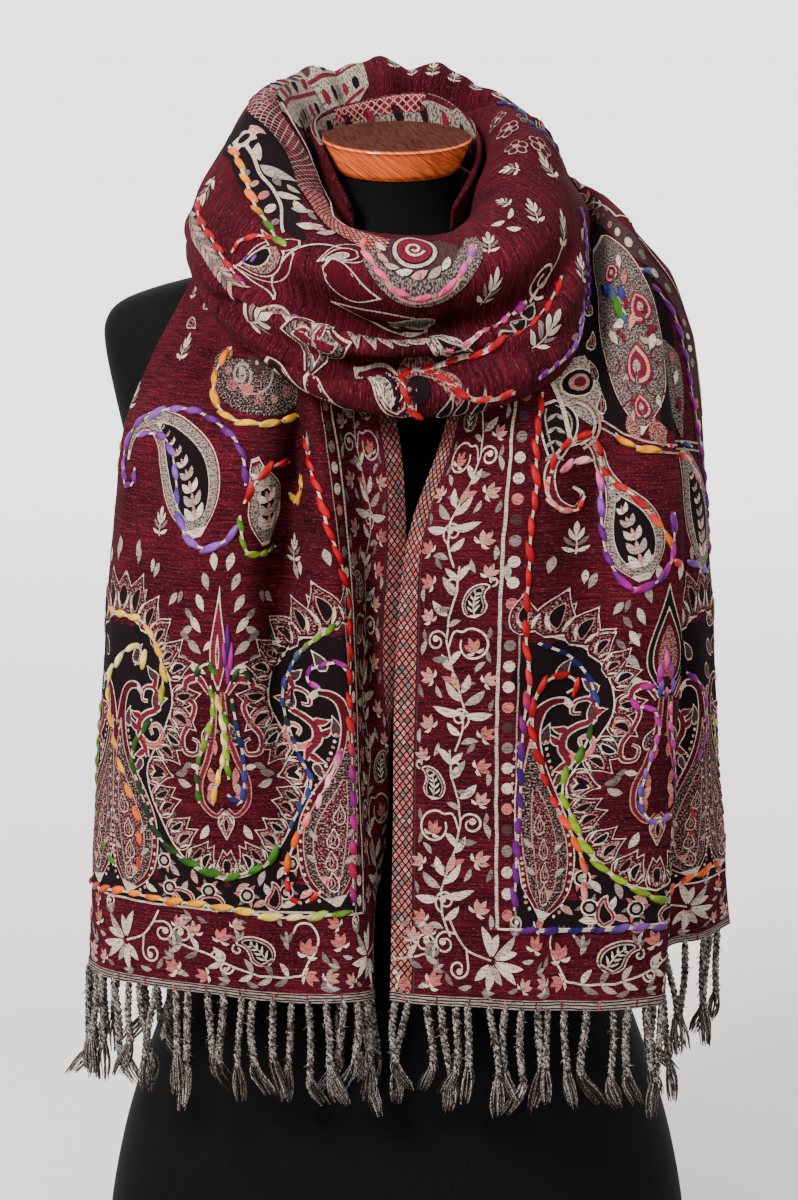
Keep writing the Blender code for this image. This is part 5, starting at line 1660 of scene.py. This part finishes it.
stitchLines = {
    "leftEnd": (
        ("thick", "red*7 coral purple magenta red purple", (108, 346), (102, 338), (95, 328), (89, 312),
         (86, 291), (79, 269), (75, 248), (76, 218), (80, 188), (79, 157), (78, 125), (81, 95), (82, 60)),
        ("thick", "red coral orange*2 gold*2 yellow pale lime green", (276, 55), (257, 57), (240, 59),
         (217, 59), (200, 58), (184, 58), (169, 57), (153, 55), (135, 52), (117, 52), (101, 54), (82, 57)),
        ("thick", "purple rose red", (350, 60), (318, 54), (282, 54)),
        ("thick", "gold yellow gold lime", (270, 234), (248, 233), (228, 231), (217, 222), (210, 214),
         (205, 204), (205, 193), (208, 181)),
        ("thick", "forest green forest*4 green*4", (214, 172), (226, 159), (231, 147), (225, 130),
         (220, 119), (211, 102), (193, 88), (174, 79), (163, 76), (150, 80), (139, 84), (130, 96)),
        ("fine", "green lime blue*2 forest navy blue*2 forest", (85, 236), (98, 224), (107, 214),
         (114, 203), (119, 190), (119, 174), (115, 159), (111, 148), (106, 136), (113, 120), (124, 103)),
        ("thick", "yellow pale*2 yellow gold*3 orange coral red", (231, 204), (224, 207), (227, 214),
         (238, 213), (249, 204), (259, 195), (264, 185), (259, 172), (253, 159), (245, 146), (236, 130),
         (227, 114), (223, 95), (224, 72)),
        ("fine", "lime green*3", (281, 174), (281, 150), (279, 122), (275, 104), (264, 90), (246, 74)),
        ("thick", "magenta blush*2 coral orange red", (87, 158), (96, 138), (103, 122), (112, 108),
         (121, 94), (127, 77)),
        ("fine", "red*2", (125, 76), (124, 64), (115, 60)),
        ("fine", "red coral", (113, 61), (105, 67), (95, 80)),
        ("fine", "magenta purple magenta", (97, 194), (103, 198), (102, 204), (95, 209), (87, 211),
         (82, 206)),
        ("satin", "navy purple magenta*2", (156, 222, 2, 26), (158, 214, 6, 22), (154, 212, -4, 22),
         (156, 204, 0, 16)),
        ("fine", "forest green", (178, 198), (176, 206), (168, 209), (166, 200)),
        ("fine", "forest*2", (152, 197), (150, 203), (144, 205), (142, 196)),
        ("fine", "green lime forest green", (168, 196), (167, 180), (172, 164), (179, 146), (180, 133),
         (179, 122)),
        ("fine", "yellow pale yellow gold", (164, 190), (161, 170), (162, 153), (167, 137), (171, 122)),
        ("fine", "green lime green", (159, 180), (160, 160), (160, 138)),
        ("fine", "forest navy blue navy", (154, 188), (152, 170), (150, 154), (150, 141), (155, 123),
         (162, 129)),
        ("thick", "lilac purple lilac*2 purple*4", (268, 316), (271, 332), (265, 345), (250, 353),
         (236, 358), (220, 361), (203, 360), (192, 357), (181, 352), (166, 341), (159, 329), (155, 316)),
        ("thick", "lilac purple lilac blue lilac*3", (257, 341), (237, 344), (224, 342), (214, 334),
         (206, 316), (201, 298), (189, 283), (173, 279), (161, 285), (154, 294)),
        ("fine", "purple*2", (267, 321), (262, 312), (252, 312), (251, 322)),
        ("thick", "red coral red", (154, 306), (148, 320), (139, 328), (124, 329)),
        ("fine", "green lime green", (155, 299), (152, 287), (147, 277), (137, 275), (123, 277)),
        ("thick", "orange gold*2 yellow gold", (183, 404), (193, 392), (195, 381), (191, 370), (184, 362),
         (169, 355), (154, 354), (133, 356), (120, 358)),
        ("fine", "gold*2", (112, 322), (108, 314), (114, 304), (120, 310)),
        ("thick", "blue purple rose red", (300, 230), (322, 200), (320, 160), (302, 120), (306, 84)),
        ("thick", "red orange gold", (345, 330), (330, 352), (305, 350), (292, 330), (300, 300)),
    ),
    "rightEnd": (
        ("thick", "red*6 coral purple navy purple*3", (84, 372), (83, 337), (84, 313), (82, 290), (82, 265),
         (82, 230), (85, 193), (83, 171), (82, 148), (82, 132), (81, 109), (80, 93), (78, 58)),
        ("thick", "purple navy*2 lilac navy", (80, 47), (104, 46), (136, 46), (160, 46), (176, 44)),
        ("thick", "purple orange coral", (206, 30), (236, 52), (270, 56)),
        ("fine", "navy*3 blue", (88, 220), (102, 211), (109, 203), (115, 194), (122, 179)),
        ("thick", "forest green lime*4 green", (122, 171), (117, 150), (110, 138), (110, 126), (118, 112),
         (126, 96), (134, 84), (146, 74), (160, 65), (176, 58)),
        ("thick", "red*6 coral orange coral blush", (103, 188), (108, 192), (101, 199), (93, 197),
         (89, 190), (87, 180), (87, 170), (88, 160), (92, 147), (98, 131), (108, 117), (120, 100),
         (127, 82), (127, 62)),
        ("fine", "magenta*3 lilac blue lilac*2", (146, 186), (148, 179), (155, 178), (161, 174), (164, 163),
         (162, 152), (159, 140), (156, 124), (158, 113), (165, 106), (176, 109)),
        ("fine", "blue magenta*2 rose", (184, 114), (180, 130), (176, 146), (172, 163), (170, 180)),
        ("fine", "magenta*2", (161, 187), (154, 191), (146, 188)),
        ("wideSatin", "rose magenta*2 blue lilac blue", (166, 207, 0, 15), (162, 199, 4, 14),
         (169, 200, -5, 14), (163, 190, 6, 13), (171, 191, -4, 12), (167, 186, 0, 10)),
        ("fine", "rose coral rose", (206, 176), (212, 150), (214, 122)),
        ("fine", "purple magenta purple magenta", (232, 190), (246, 180), (254, 166), (252, 150),
         (240, 133)),
        ("fine", "lime green*2", (268, 160), (269, 132), (258, 112)),
        ("fine", "red*2", (238, 106), (234, 78)),
        ("thick", "blue purple*3 magenta purple*2", (168, 444), (228, 441), (240, 424), (248, 403),
         (256, 382), (257, 366), (262, 350), (266, 330), (272, 306), (275, 284)),
        ("broadSatin", "navy blue green*2 blue", (132, 437, 150, 18), (138, 430, 160, 20),
         (141, 422, 165, 20), (145, 416, 155, 14), (147, 430, 165, 16)),
        ("thick", "orange gold*2", (124, 345), (140, 338), (154, 335), (166, 332)),
        ("fine", "red", (170, 336), (175, 335)),
        ("fine", "blue", (236, 333), (250, 329)),
        ("thick", "red*7 coral orange*2", (90, 322), (92, 334), (98, 341), (105, 343), (110, 337),
         (113, 325), (122, 316), (138, 309), (148, 300), (157, 291), (165, 281), (168, 272)),
        ("thick", "blush rose", (108, 328), (100, 328), (94, 323)),
        ("fine", "coral blush coral*2", (89, 320), (89, 309), (95, 300), (103, 299), (106, 307)),
        ("thick", "rose lilac purple*3 magenta purple magenta purple*2", (113, 322), (114, 312), (116, 302),
         (118, 287), (122, 271), (130, 259), (139, 252), (150, 252), (160, 257), (167, 266), (169, 280),
         (170, 296)),
        ("thick", "coral blush red", (228, 327), (240, 323), (251, 314), (260, 301)),
        ("fine", "purple magenta purple", (273, 300), (275, 280), (275, 258)),
        ("fine", "coral", (169, 267), (176, 262)),
        ("thick", "lilac*2 blue", (234, 259), (250, 254), (268, 248)),
        ("fine", "purple*2", (115, 474), (114, 452), (110, 430)),
    ),
    "frontLoop": (
        ("thick", "orange*2 gold orange*2 green*2 lime", (72, 116), (70, 133), (71, 151), (74, 167),
         (77, 179), (80, 193), (87, 206), (90, 214)),
        ("thick", "red*5 purple", (98, 122), (104, 132), (107, 144), (109, 157), (113, 167), (118, 178),
         (124, 190)),
        ("fine", "red*2", (108, 174), (101, 179), (95, 186), (90, 194), (87, 206)),
        ("satin", "purple lilac", (107, 187, 130, 12), (104, 194, 130, 12)),
        ("bead", "navy*3", (57, 529), (60, 508), (66, 490), (76, 478), (92, 472)),
        ("edged", "coral rose*5 lilac rose", (60, 262), (70, 257), (79, 263), (90, 272), (98, 285),
         (99, 299), (95, 311), (86, 321), (73, 330)),
        ("fine", "rose*3 magenta", (137, 302), (135, 313), (130, 325), (124, 338), (120, 349)),
        ("knot", "magenta", (121, 350), (119, 361)),
        ("thick", "red*7", (149, 290), (148, 302), (146, 314), (144, 328), (138, 341), (132, 355),
         (128, 371), (124, 390)),
        ("thick", "coral red*4 coral*2", (173, 293), (166, 288), (158, 283), (151, 284), (149, 291),
         (152, 300), (159, 305), (163, 313), (165, 323), (165, 338)),
        ("satin", "navy*2 magenta", (127, 222, 60, 9), (132, 226, 20, 9), (128, 284, 70, 9)),
        ("fine", "purple*3 lilac purple*2", (118, 446), (130, 436), (142, 420), (153, 402), (159, 384),
         (161, 366), (163, 350)),
    ),
}


def stitchForm():
    # one stitch, a unit long and wide, plump in the middle, its ends going down into the cloth
    steps, around = stitching["along"], stitching["around"]
    points = []
    for t in np.linspace(0, 1, steps + 1):
        radius = 0.5 * math.sin(math.pi * (0.07 + 0.86 * t)) ** 0.52
        for j in range(around):
            turn = 2 * math.pi * j / around
            height = radius * math.sin(turn) + 0.42 * math.sin(math.pi * t) - 0.2
            points.append((t - 0.5, radius * math.cos(turn), height))
    faces, spots = [], []
    for i in range(steps):
        for j in range(around):
            k = (j + 1) % around
            faces.append((i * around + j, (i + 1) * around + j, (i + 1) * around + k, i * around + k))
            spots += [(i / steps, j / around), ((i + 1) / steps, j / around),
                      ((i + 1) / steps, (j + 1) / around),
                      (i / steps, (j + 1) / around)]
    faces.append(tuple(range(around)))
    faces.append(tuple(range(steps * around, (steps + 1) * around))[::-1])
    spots += [(end, j / around) for end in (0, 1) for j in range(around)]
    made = makeMesh("stitchForm", points, faces, finishes["stitch"])
    layer = made.data.uv_layers.new(name="flat")
    layer.data.foreach_set("uv", np.asarray(spots, float).ravel())
    return made


class Graph(Maker):
    # a Geometry Nodes tree with named inputs
    def __init__(self, name, inputs):
        self.tree = bpy.data.node_groups.new(name, "GeometryNodeTree")
        face = self.tree.interface
        face.new_socket("Points", in_out="INPUT", socket_type="NodeSocketGeometry")
        for label, (kind, value) in inputs.items():
            face.new_socket(label, in_out="INPUT", socket_type=kind).default_value = value
        face.new_socket("Result", in_out="OUTPUT", socket_type="NodeSocketGeometry")
        self.given = self.tree.nodes.new("NodeGroupInput")

    def taken(self, label):
        return Wire(self, self.given.outputs[label])

    def named(self, name, kind="FLOAT_VECTOR"):
        return self.node("GeometryNodeInputNamedAttribute", {"data_type": kind}, {"Name": name})

    def close(self, wire, finish):
        real = self.node("GeometryNodeRealizeInstances", {}, {0: wire})
        painted = self.node("GeometryNodeSetMaterial", {}, {0: real, "Material": finish})
        ends = self.tree.nodes.new("NodeGroupOutput")
        self.tree.links.new(painted.socket, ends.inputs[0])
        return self.tree


attributeFields = {"FLOAT_VECTOR": "vector", "FLOAT_COLOR": "color", "INT": "value"}


def grow(name, points, attributes, tree, values, finish):
    # runs the tree on a cloud of points and keeps the result as a plain mesh
    mesh = bpy.data.meshes.new(name)
    mesh.from_pydata(np.asarray(points, float).tolist(), [], [])
    for key, (kind, data) in attributes.items():
        held = mesh.attributes.new(key, kind, "POINT")
        held.data.foreach_set(attributeFields[kind],
                              np.asarray(data, np.int32 if kind == "INT" else float).ravel())
    made = bpy.data.objects.new(name, mesh)
    scene.collection.objects.link(made)
    grown = made.modifiers.new("grown", "NODES")
    grown.node_group = tree
    for item in tree.interface.items_tree:
        if item.item_type == "SOCKET" and item.in_out == "INPUT" and item.name in values:
            grown[item.identifier] = values[item.name]
    bpy.context.view_layer.update()
    final = bpy.data.meshes.new_from_object(made.evaluated_get(bpy.context.evaluated_depsgraph_get()))
    final.name = name
    made.modifiers.remove(grown)
    made.data = final
    if not final.materials:
        final.materials.append(finish)
    return made


def stitchTree():
    g = Graph("stitches", {
        "Stitch": ("NodeSocketObject", None), "Length jitter": ("NodeSocketFloat", 0.12),
        "Roll": ("NodeSocketFloat", 0.3),
        "Seed": ("NodeSocketInt", stitching["seed"]),
    })
    points = g.node("GeometryNodeMeshToPoints", {}, {0: g.taken("Points")})
    stitch = g.node("GeometryNodeObjectInfo", {"transform_space": "ORIGINAL"}, {0: g.taken("Stitch")}, 4)
    turn = g.node("FunctionNodeAxesToRotation", {"primary_axis": "X", "secondary_axis": "Z"},
                  {0: g.named("ahead"), 1: g.named("away")})
    jitter = g.node("FunctionNodeRandomValue", {"data_type": "FLOAT"}, {
        2: 1 - g.taken("Length jitter"), 3: 1 + g.taken("Length jitter"), "Seed": g.taken("Seed")}, 1)
    size = g.node("ShaderNodeVectorMath", {"operation": "SCALE"}, {0: g.named("size"), "Scale": jitter})
    roll = g.node("FunctionNodeRandomValue", {"data_type": "FLOAT"}, {
        2: -g.taken("Roll"), 3: g.taken("Roll"), "Seed": g.taken("Seed") + 1}, 1)
    rolled = g.node("FunctionNodeRotateRotation", {"rotation_space": "LOCAL"}, {
        0: turn, 1: g.node("FunctionNodeAxisAngleToRotation", {}, {0: (1.0, 0.0, 0.0), 1: roll})})
    laid = g.node("GeometryNodeInstanceOnPoints", {},
                  {"Points": points, "Instance": stitch, "Rotation": rolled, "Scale": size})
    return g.close(laid, finishes["stitch"])


def blend(at, knots, table):
    # a table's row at one place between its knots
    return np.array([np.interp(at, knots, column) for column in np.transpose(table)])


class Needle:
    # stitches laid along paths on one stretch of cloth
    def __init__(self, cloth, weave):
        self.cloth, self.weave = cloth, weave
        self.rows = {"spot": [], "ahead": [], "away": [], "size": [], "dye": [], "dyeOn": []}
        self.rng = np.random.default_rng(stitching["seed"])

    def lay(self, *values):
        for row, value in zip(self.rows.values(), values):
            row.append(value)

    def run(self, path, dyes, kind):
        # a line of stitches through flat places; the yarn's colour drifts through the named dyes
        s, length, width = stitching, kind["length"], kind["width"]
        path = np.asarray(path, float)
        lengths = lengthsAlong(path)
        line = lineAt(path, lengths, np.linspace(0, lengths[-1], max(12, int(lengths[-1] * 1.5))))
        spots, normals = self.cloth.at(line[:, 0], line[:, 1], np.full(len(line), halfCloth * mm))
        real = lengthsAlong(spots) / mm
        count = max(1, round(real[-1] / kind["pitch"]))
        colours = np.array([silks[dye] for dye in dyes])
        shares = np.arange(len(colours))
        self.weave.ribbon(line[::2], s["couch"], kind["under"], s["couchLayer"])
        height = s["height"] * width / s["width"] * kind["plump"]
        for k in range(count):
            middle = (k + 0.5) / count * real[-1] + self.rng.uniform(-0.5, 0.5)
            away = unit(blend(middle, real, normals))
            reach = length * s["reach"]
            ahead = unit(blend(middle + reach, real, spots) - blend(middle - reach, real, spots))
            slant = math.radians(s["slant"] + self.rng.uniform(-s["slantJitter"], s["slantJitter"]))
            ahead = ahead * math.cos(slant) + np.cross(away, ahead) * math.sin(slant)
            tone = 1 + self.rng.uniform(-0.25, 0.12)
            wide = width * kind["plump"] * self.rng.uniform(0.88, 1.12)
            size = np.array((min(length, real[-1] / count), wide, height)) * mm
            pair = (blend(share / count * shares[-1], shares, colours) * tone for share in (k, k + 1))
            self.lay(blend(middle, real, spots), ahead, away, size, *((*dye, 1) for dye in pair))

    def satin(self, rows, dyes, width):
        # separate long stitches side by side, for small filled shapes
        for k, (u, v, turn, length) in enumerate(rows):
            place, away = self.cloth.at(u, v, halfCloth * mm)
            ahead = self.cloth.at(*((u, v) + aimed(turn, stitching["satinAim"])), halfCloth * mm)[0] - place
            size = np.array((length, width, width * stitching["satinHeight"])) * mm
            pair = (silks[dyes[j % len(dyes)]] for j in (k, k + 1))
            self.lay(place, unit(ahead), away, size, *((*dye, 1) for dye in pair))


needles = {}
for name, lines in stitchLines.items():
    needles[name] = Needle(cloths[name], weaves[name])
    for kind, dyes, *places in lines:
        how = stitchKinds[kind]
        lay = needles[name].run if isinstance(how, dict) else needles[name].satin
        lay(places, dyeList(dyes), how)

stitch = stitchForm()
tree = stitchTree()
embroidery = {}
for name, needle in needles.items():
    rows = {key: ("FLOAT_COLOR" if key.startswith("dye") else "FLOAT_VECTOR", row) for key,
            row in needle.rows.items()}
    _, spots = rows.pop("spot")
    piece = grow("stitches_" + name, spots, rows, tree,
                 {"Stitch": stitch, "Length jitter": 0.1, "Roll": 0.25, "Seed": stitching["seed"]},
                 finishes["stitch"])
    fit(piece)
    embroidery[name] = piece
    print("stitches on", name, len(spots), len(piece.data.polygons))
bpy.data.objects.remove(stitch)

weavePieces = {}
for name, w in weaves.items():
    box = w.shared
    piece = makeMesh("weave_" + name, np.concatenate(box["points"]), np.concatenate(box["faces"]).tolist(),
                     finishes["figure"], np.concatenate(box["flat"]), np.concatenate(box["dyes"]))
    fit(piece)
    weavePieces[name] = piece
    print("figures on", name, len(piece.data.polygons))

# twisted two-ply tassels with frayed ends, in mm
fringe = {"pitch": 12.4, "length": 68.0, "spread": 7.6, "ply": 1.5, "twist": 8.0, "fray": 20.0,
          "variants": 6, "strands": 22, "hairs": 16, "seed": 17, "backShare": 0.4, "fullTurn": 6.28,
          "marls": 400, "tones": ("ash", "flint", "ash", "flint", "dusk", "grey", "ash"),
          # how far a tassel starts behind or in front of the cloth's middle, and above the hem
          "behind": -1.4, "before": 0.9, "above": 0.6}


def tube(box, line, radius, sides, dyePick):
    # a tube round a line; radius is one value for each place on it
    points, faces, dyes = box
    ahead = unit(np.gradient(line, axis=0))
    first = unit(np.cross(ahead, np.array([0.3, 1.0, 0.1])))
    second = np.cross(ahead, first)
    start = len(points)
    for k in range(len(line)):
        for j in range(sides):
            turn = 2 * math.pi * j / sides
            points.append(line[k] + radius[k] * (first[k] * math.cos(turn) + second[k] * math.sin(turn)))
    for k in range(len(line) - 1):
        for j in range(sides):
            a, b = start + k * sides + j, start + k * sides + (j + 1) % sides
            faces.append((a, b, b + sides, a + sides))
            dyes.append(dyePick(k, j))
    faces.append(tuple(range(start, start + sides))[::-1])
    faces.append(tuple(range(start + (len(line) - 1) * sides, start + len(line) * sides)))
    dyes.extend([dyePick(0, 0)] * 2)


def turned(turn, size, down):
    # a line of places at a turn and a distance round the tassel's middle
    return np.stack([np.cos(turn) * size, np.sin(turn) * size, down], axis=-1)


def tassel(name, rng):
    box = ([], [], [])
    tones, full = fringe["tones"], fringe["fullTurn"]
    length, fray = fringe["length"] * rng.uniform(0.88, 1.04), fringe["fray"] * rng.uniform(0.8, 1.15)
    cord = length - fray
    phase, lean = rng.uniform(0, full, 3), rng.uniform(-10, 10, 2)
    swing = rng.uniform(1.5, 4.0)
    kink, bent = rng.uniform(0.55, 0.8), rng.uniform(-0.8, 0.8)

    def middle(z):
        share = z / length
        x = swing * np.sin(share * 5.2 + phase[0]) * share**0.7 + lean[0] * share
        x = x + bent * length * np.maximum(share - kink, 0)
        y = 1.2 * np.sin(share * 4.1 + phase[1]) * share + lean[1] * 0.25 * share
        return np.stack([x, y, -z], axis=-1)

    def anyTone():
        tone = yarns[tones[rng.integers(len(tones))]]
        return lambda k, j: tone

    marl = rng.integers(0, len(tones), fringe["marls"])
    z = np.linspace(0, cord, 30)
    tight = np.interp(z, (0, 4, cord - 4, cord), (0.7, 1, 1, 1.1))
    for ply in (0, 1):
        turn = z / fringe["twist"] * 2 * math.pi + ply * math.pi + phase[2]
        aside = turned(turn, fringe["ply"] * 0.78 * tight, np.zeros_like(z))
        tube(box, middle(z) + aside, fringe["ply"] * tight, 6,
             lambda k, j, p=ply: yarns[tones[marl[(k * 5 + j * 3 + p * 131) % fringe["marls"]]]])
    for _ in range(fringe["strands"]):
        start = cord - rng.uniform(1.5, 5)
        z = np.linspace(start, length + rng.uniform(-3, 1.5), 5)
        share = (z - start) / (z[-1] - start)
        turn, out = rng.uniform(0, full), rng.uniform(0.5, 1) * fringe["spread"] * 0.6
        bow = turned(turn + share * 0.8, out * np.sin(share * 2.4), np.zeros_like(share)) * (1, 0.7, 1)
        tube(box, middle(z) + bow + turned(turn, 1.2, 0), np.linspace(0.62, 0.3, 5), 3, anyTone())
    for _ in range(fringe["hairs"]):
        # loose hairs that stand off the cord
        start = rng.uniform(3, cord)
        share, turn, out = np.linspace(0, 1, 4), rng.uniform(0, full), rng.uniform(1.8, 4.2)
        bow = turned(turn + share * 1.4, 1.0 + out * share, rng.uniform(-5, 1) * share)
        tube(box, middle(np.full(4, start)) + bow, np.linspace(0.32, 0.16, 4), 3, anyTone())
    points, faces, dyes = box
    return makeMesh(name, np.array(points) * mm, faces, finishes["fringe"], None,
                    [(*dye, 1) for dye in dyes])


def fringeTree(store):
    g = Graph("fringe", {"Size": ("NodeSocketFloat", 1.0), "Size jitter": ("NodeSocketFloat", 0.1),
                         "Sway": ("NodeSocketFloat", 0.1), "Seed": ("NodeSocketInt", fringe["seed"])})
    full = fringe["fullTurn"]
    points = g.node("GeometryNodeMeshToPoints", {}, {0: g.taken("Points")})
    kinds = g.node("GeometryNodeCollectionInfo", {"transform_space": "ORIGINAL"},
                   {0: store, 1: True, 2: True})
    spin = g.node("FunctionNodeRandomValue", {"data_type": "FLOAT_VECTOR"}, {
        0: g.node("ShaderNodeCombineXYZ", {}, {0: -g.taken("Sway"), 1: -g.taken("Sway"), 2: 0.0}),
        1: g.node("ShaderNodeCombineXYZ", {}, {0: g.taken("Sway"), 1: g.taken("Sway"), 2: full}),
        "Seed": g.taken("Seed")})
    size = g.node("FunctionNodeRandomValue", {"data_type": "FLOAT"}, {
        2: g.taken("Size") - g.taken("Size jitter"), 3: g.taken("Size") + g.taken("Size jitter"),
        "Seed": g.taken("Seed") + 1}, 1)
    turn = g.node("FunctionNodeEulerToRotation", {}, {0: spin})
    laid = g.node("GeometryNodeInstanceOnPoints", {}, {
        "Points": points, "Instance": kinds, "Pick Instance": True,
        "Instance Index": g.named("kind", "INT"),
        "Rotation": turn, "Scale": size})
    return g.close(laid, finishes["fringe"])


rng = np.random.default_rng(fringe["seed"])
store = bpy.data.collections.new("tasselKinds")
for k in range(fringe["variants"]):
    kind = tassel("tassel" + str(k), rng)
    scene.collection.objects.unlink(kind)
    store.objects.link(kind)
tree = fringeTree(store)
fringes = {}
for name, node in (("leftEnd", "fringe_left"), ("rightEnd", "fringe_right")):
    cloth = cloths[name]
    spots = []
    u = 3.0
    while u < cloth.width - 2:
        back = rng.random() < fringe["backShare"]
        spot, away = cloth.at(u, 1.0)
        away = away * fringe["behind" if back else "before"]
        spots.append(spot + (away + (0, 0, fringe["above"])) * mm)
        u += fringe["pitch"] * rng.uniform(0.55 if back else 0.8, 1.2)
    picks = {"kind": ("INT", rng.integers(0, fringe["variants"], len(spots)))}
    piece = grow(node + "_tassels", spots, picks, tree,
                 {"Size": 1.0, "Size jitter": 0.07, "Sway": 0.07, "Seed": fringe["seed"]},
                 finishes["fringe"])
    fit(piece, node)
    fringes[name] = piece
    print("tassels on", name, len(spots), len(piece.data.polygons))
for kind in list(store.objects):
    bpy.data.objects.remove(kind)
bpy.data.collections.remove(store)

# flat width and length in metres of what shows of each stretch, and how it is held
sheets = {
    "leftEnd": ((0.35, 0.55), "hung"),
    "rightEnd": ((0.28, 0.60), "hung"),
    "frontLoop": ((0.19, 0.60), "gathered"),
    "backOuter": ((0.19, 0.25), "gathered"),
    "backInner": ((0.07, 0.24), "gathered"),
}
for name, (size, held) in sheets.items():
    carried = [pieces[name] for pieces in (weavePieces, embroidery, fringes) if name in pieces]

studio = {
    "world": (1.0, 0.995, 0.995), "worldStrength": 2.85, "floor": 60.0,
    # name: place, aims at, size, power, colour
    "lights": {
        "key": ((-1.7, -2.3, 2.3), (0, 0, 0.45), 1.0, 405, (1.0, 0.98, 0.95)),
        "top": ((0.3, 0.6, 2.8), (0, 0, 0.5), 1.8, 40, (1.0, 1.0, 1.0)),
    },
}
floorMesh = bpy.data.meshes.new("floor")
corners = [(x * studio["floor"], y * studio["floor"], 0) for x, y in ((-1, -1), (1, -1), (1, 1), (-1, 1))]
floorMesh.from_pydata(corners, [], [(0, 1, 2, 3)])
floor = bpy.data.objects.new("floor", floorMesh)
floor.data.materials.append(floorPaint())
scene.collection.objects.link(floor)

world = bpy.data.worlds.new("studio")
world.use_nodes = True
world.node_tree.nodes["Background"].inputs[0].default_value = (*studio["world"], 1)
world.node_tree.nodes["Background"].inputs[1].default_value = studio["worldStrength"]
scene.world = world

for name, (spot, target, size, power, colour) in studio["lights"].items():
    lamp = bpy.data.lights.new(name, "AREA")
    lamp.size, lamp.energy, lamp.color = size, power, colour
    made = bpy.data.objects.new(name, lamp)
    made.location = spot
    made.rotation_mode = "QUATERNION"
    made.rotation_quaternion = (Vector(target) - Vector(spot)).to_track_quat("-Z", "Y")
    scene.collection.objects.link(made)

camera = {"target": (0.0013, 0.0, 0.444), "elevation": 9.0, "distance": 2.4, "lens": 112.5, "sensor": 36}
tilt = math.radians(camera["elevation"])
back = Vector((0, -math.cos(tilt), math.sin(tilt)))
lens = bpy.data.cameras.new("camera")
lens.sensor_width, lens.lens = camera["sensor"], camera["lens"]
eye = bpy.data.objects.new("camera", lens)
eye.location = Vector(camera["target"]) + camera["distance"] * back
eye.rotation_mode = "QUATERNION"
eye.rotation_quaternion = (-back).to_track_quat("-Z", "Y")
scene.collection.objects.link(eye)
scene.camera = eye
print("studio ready")
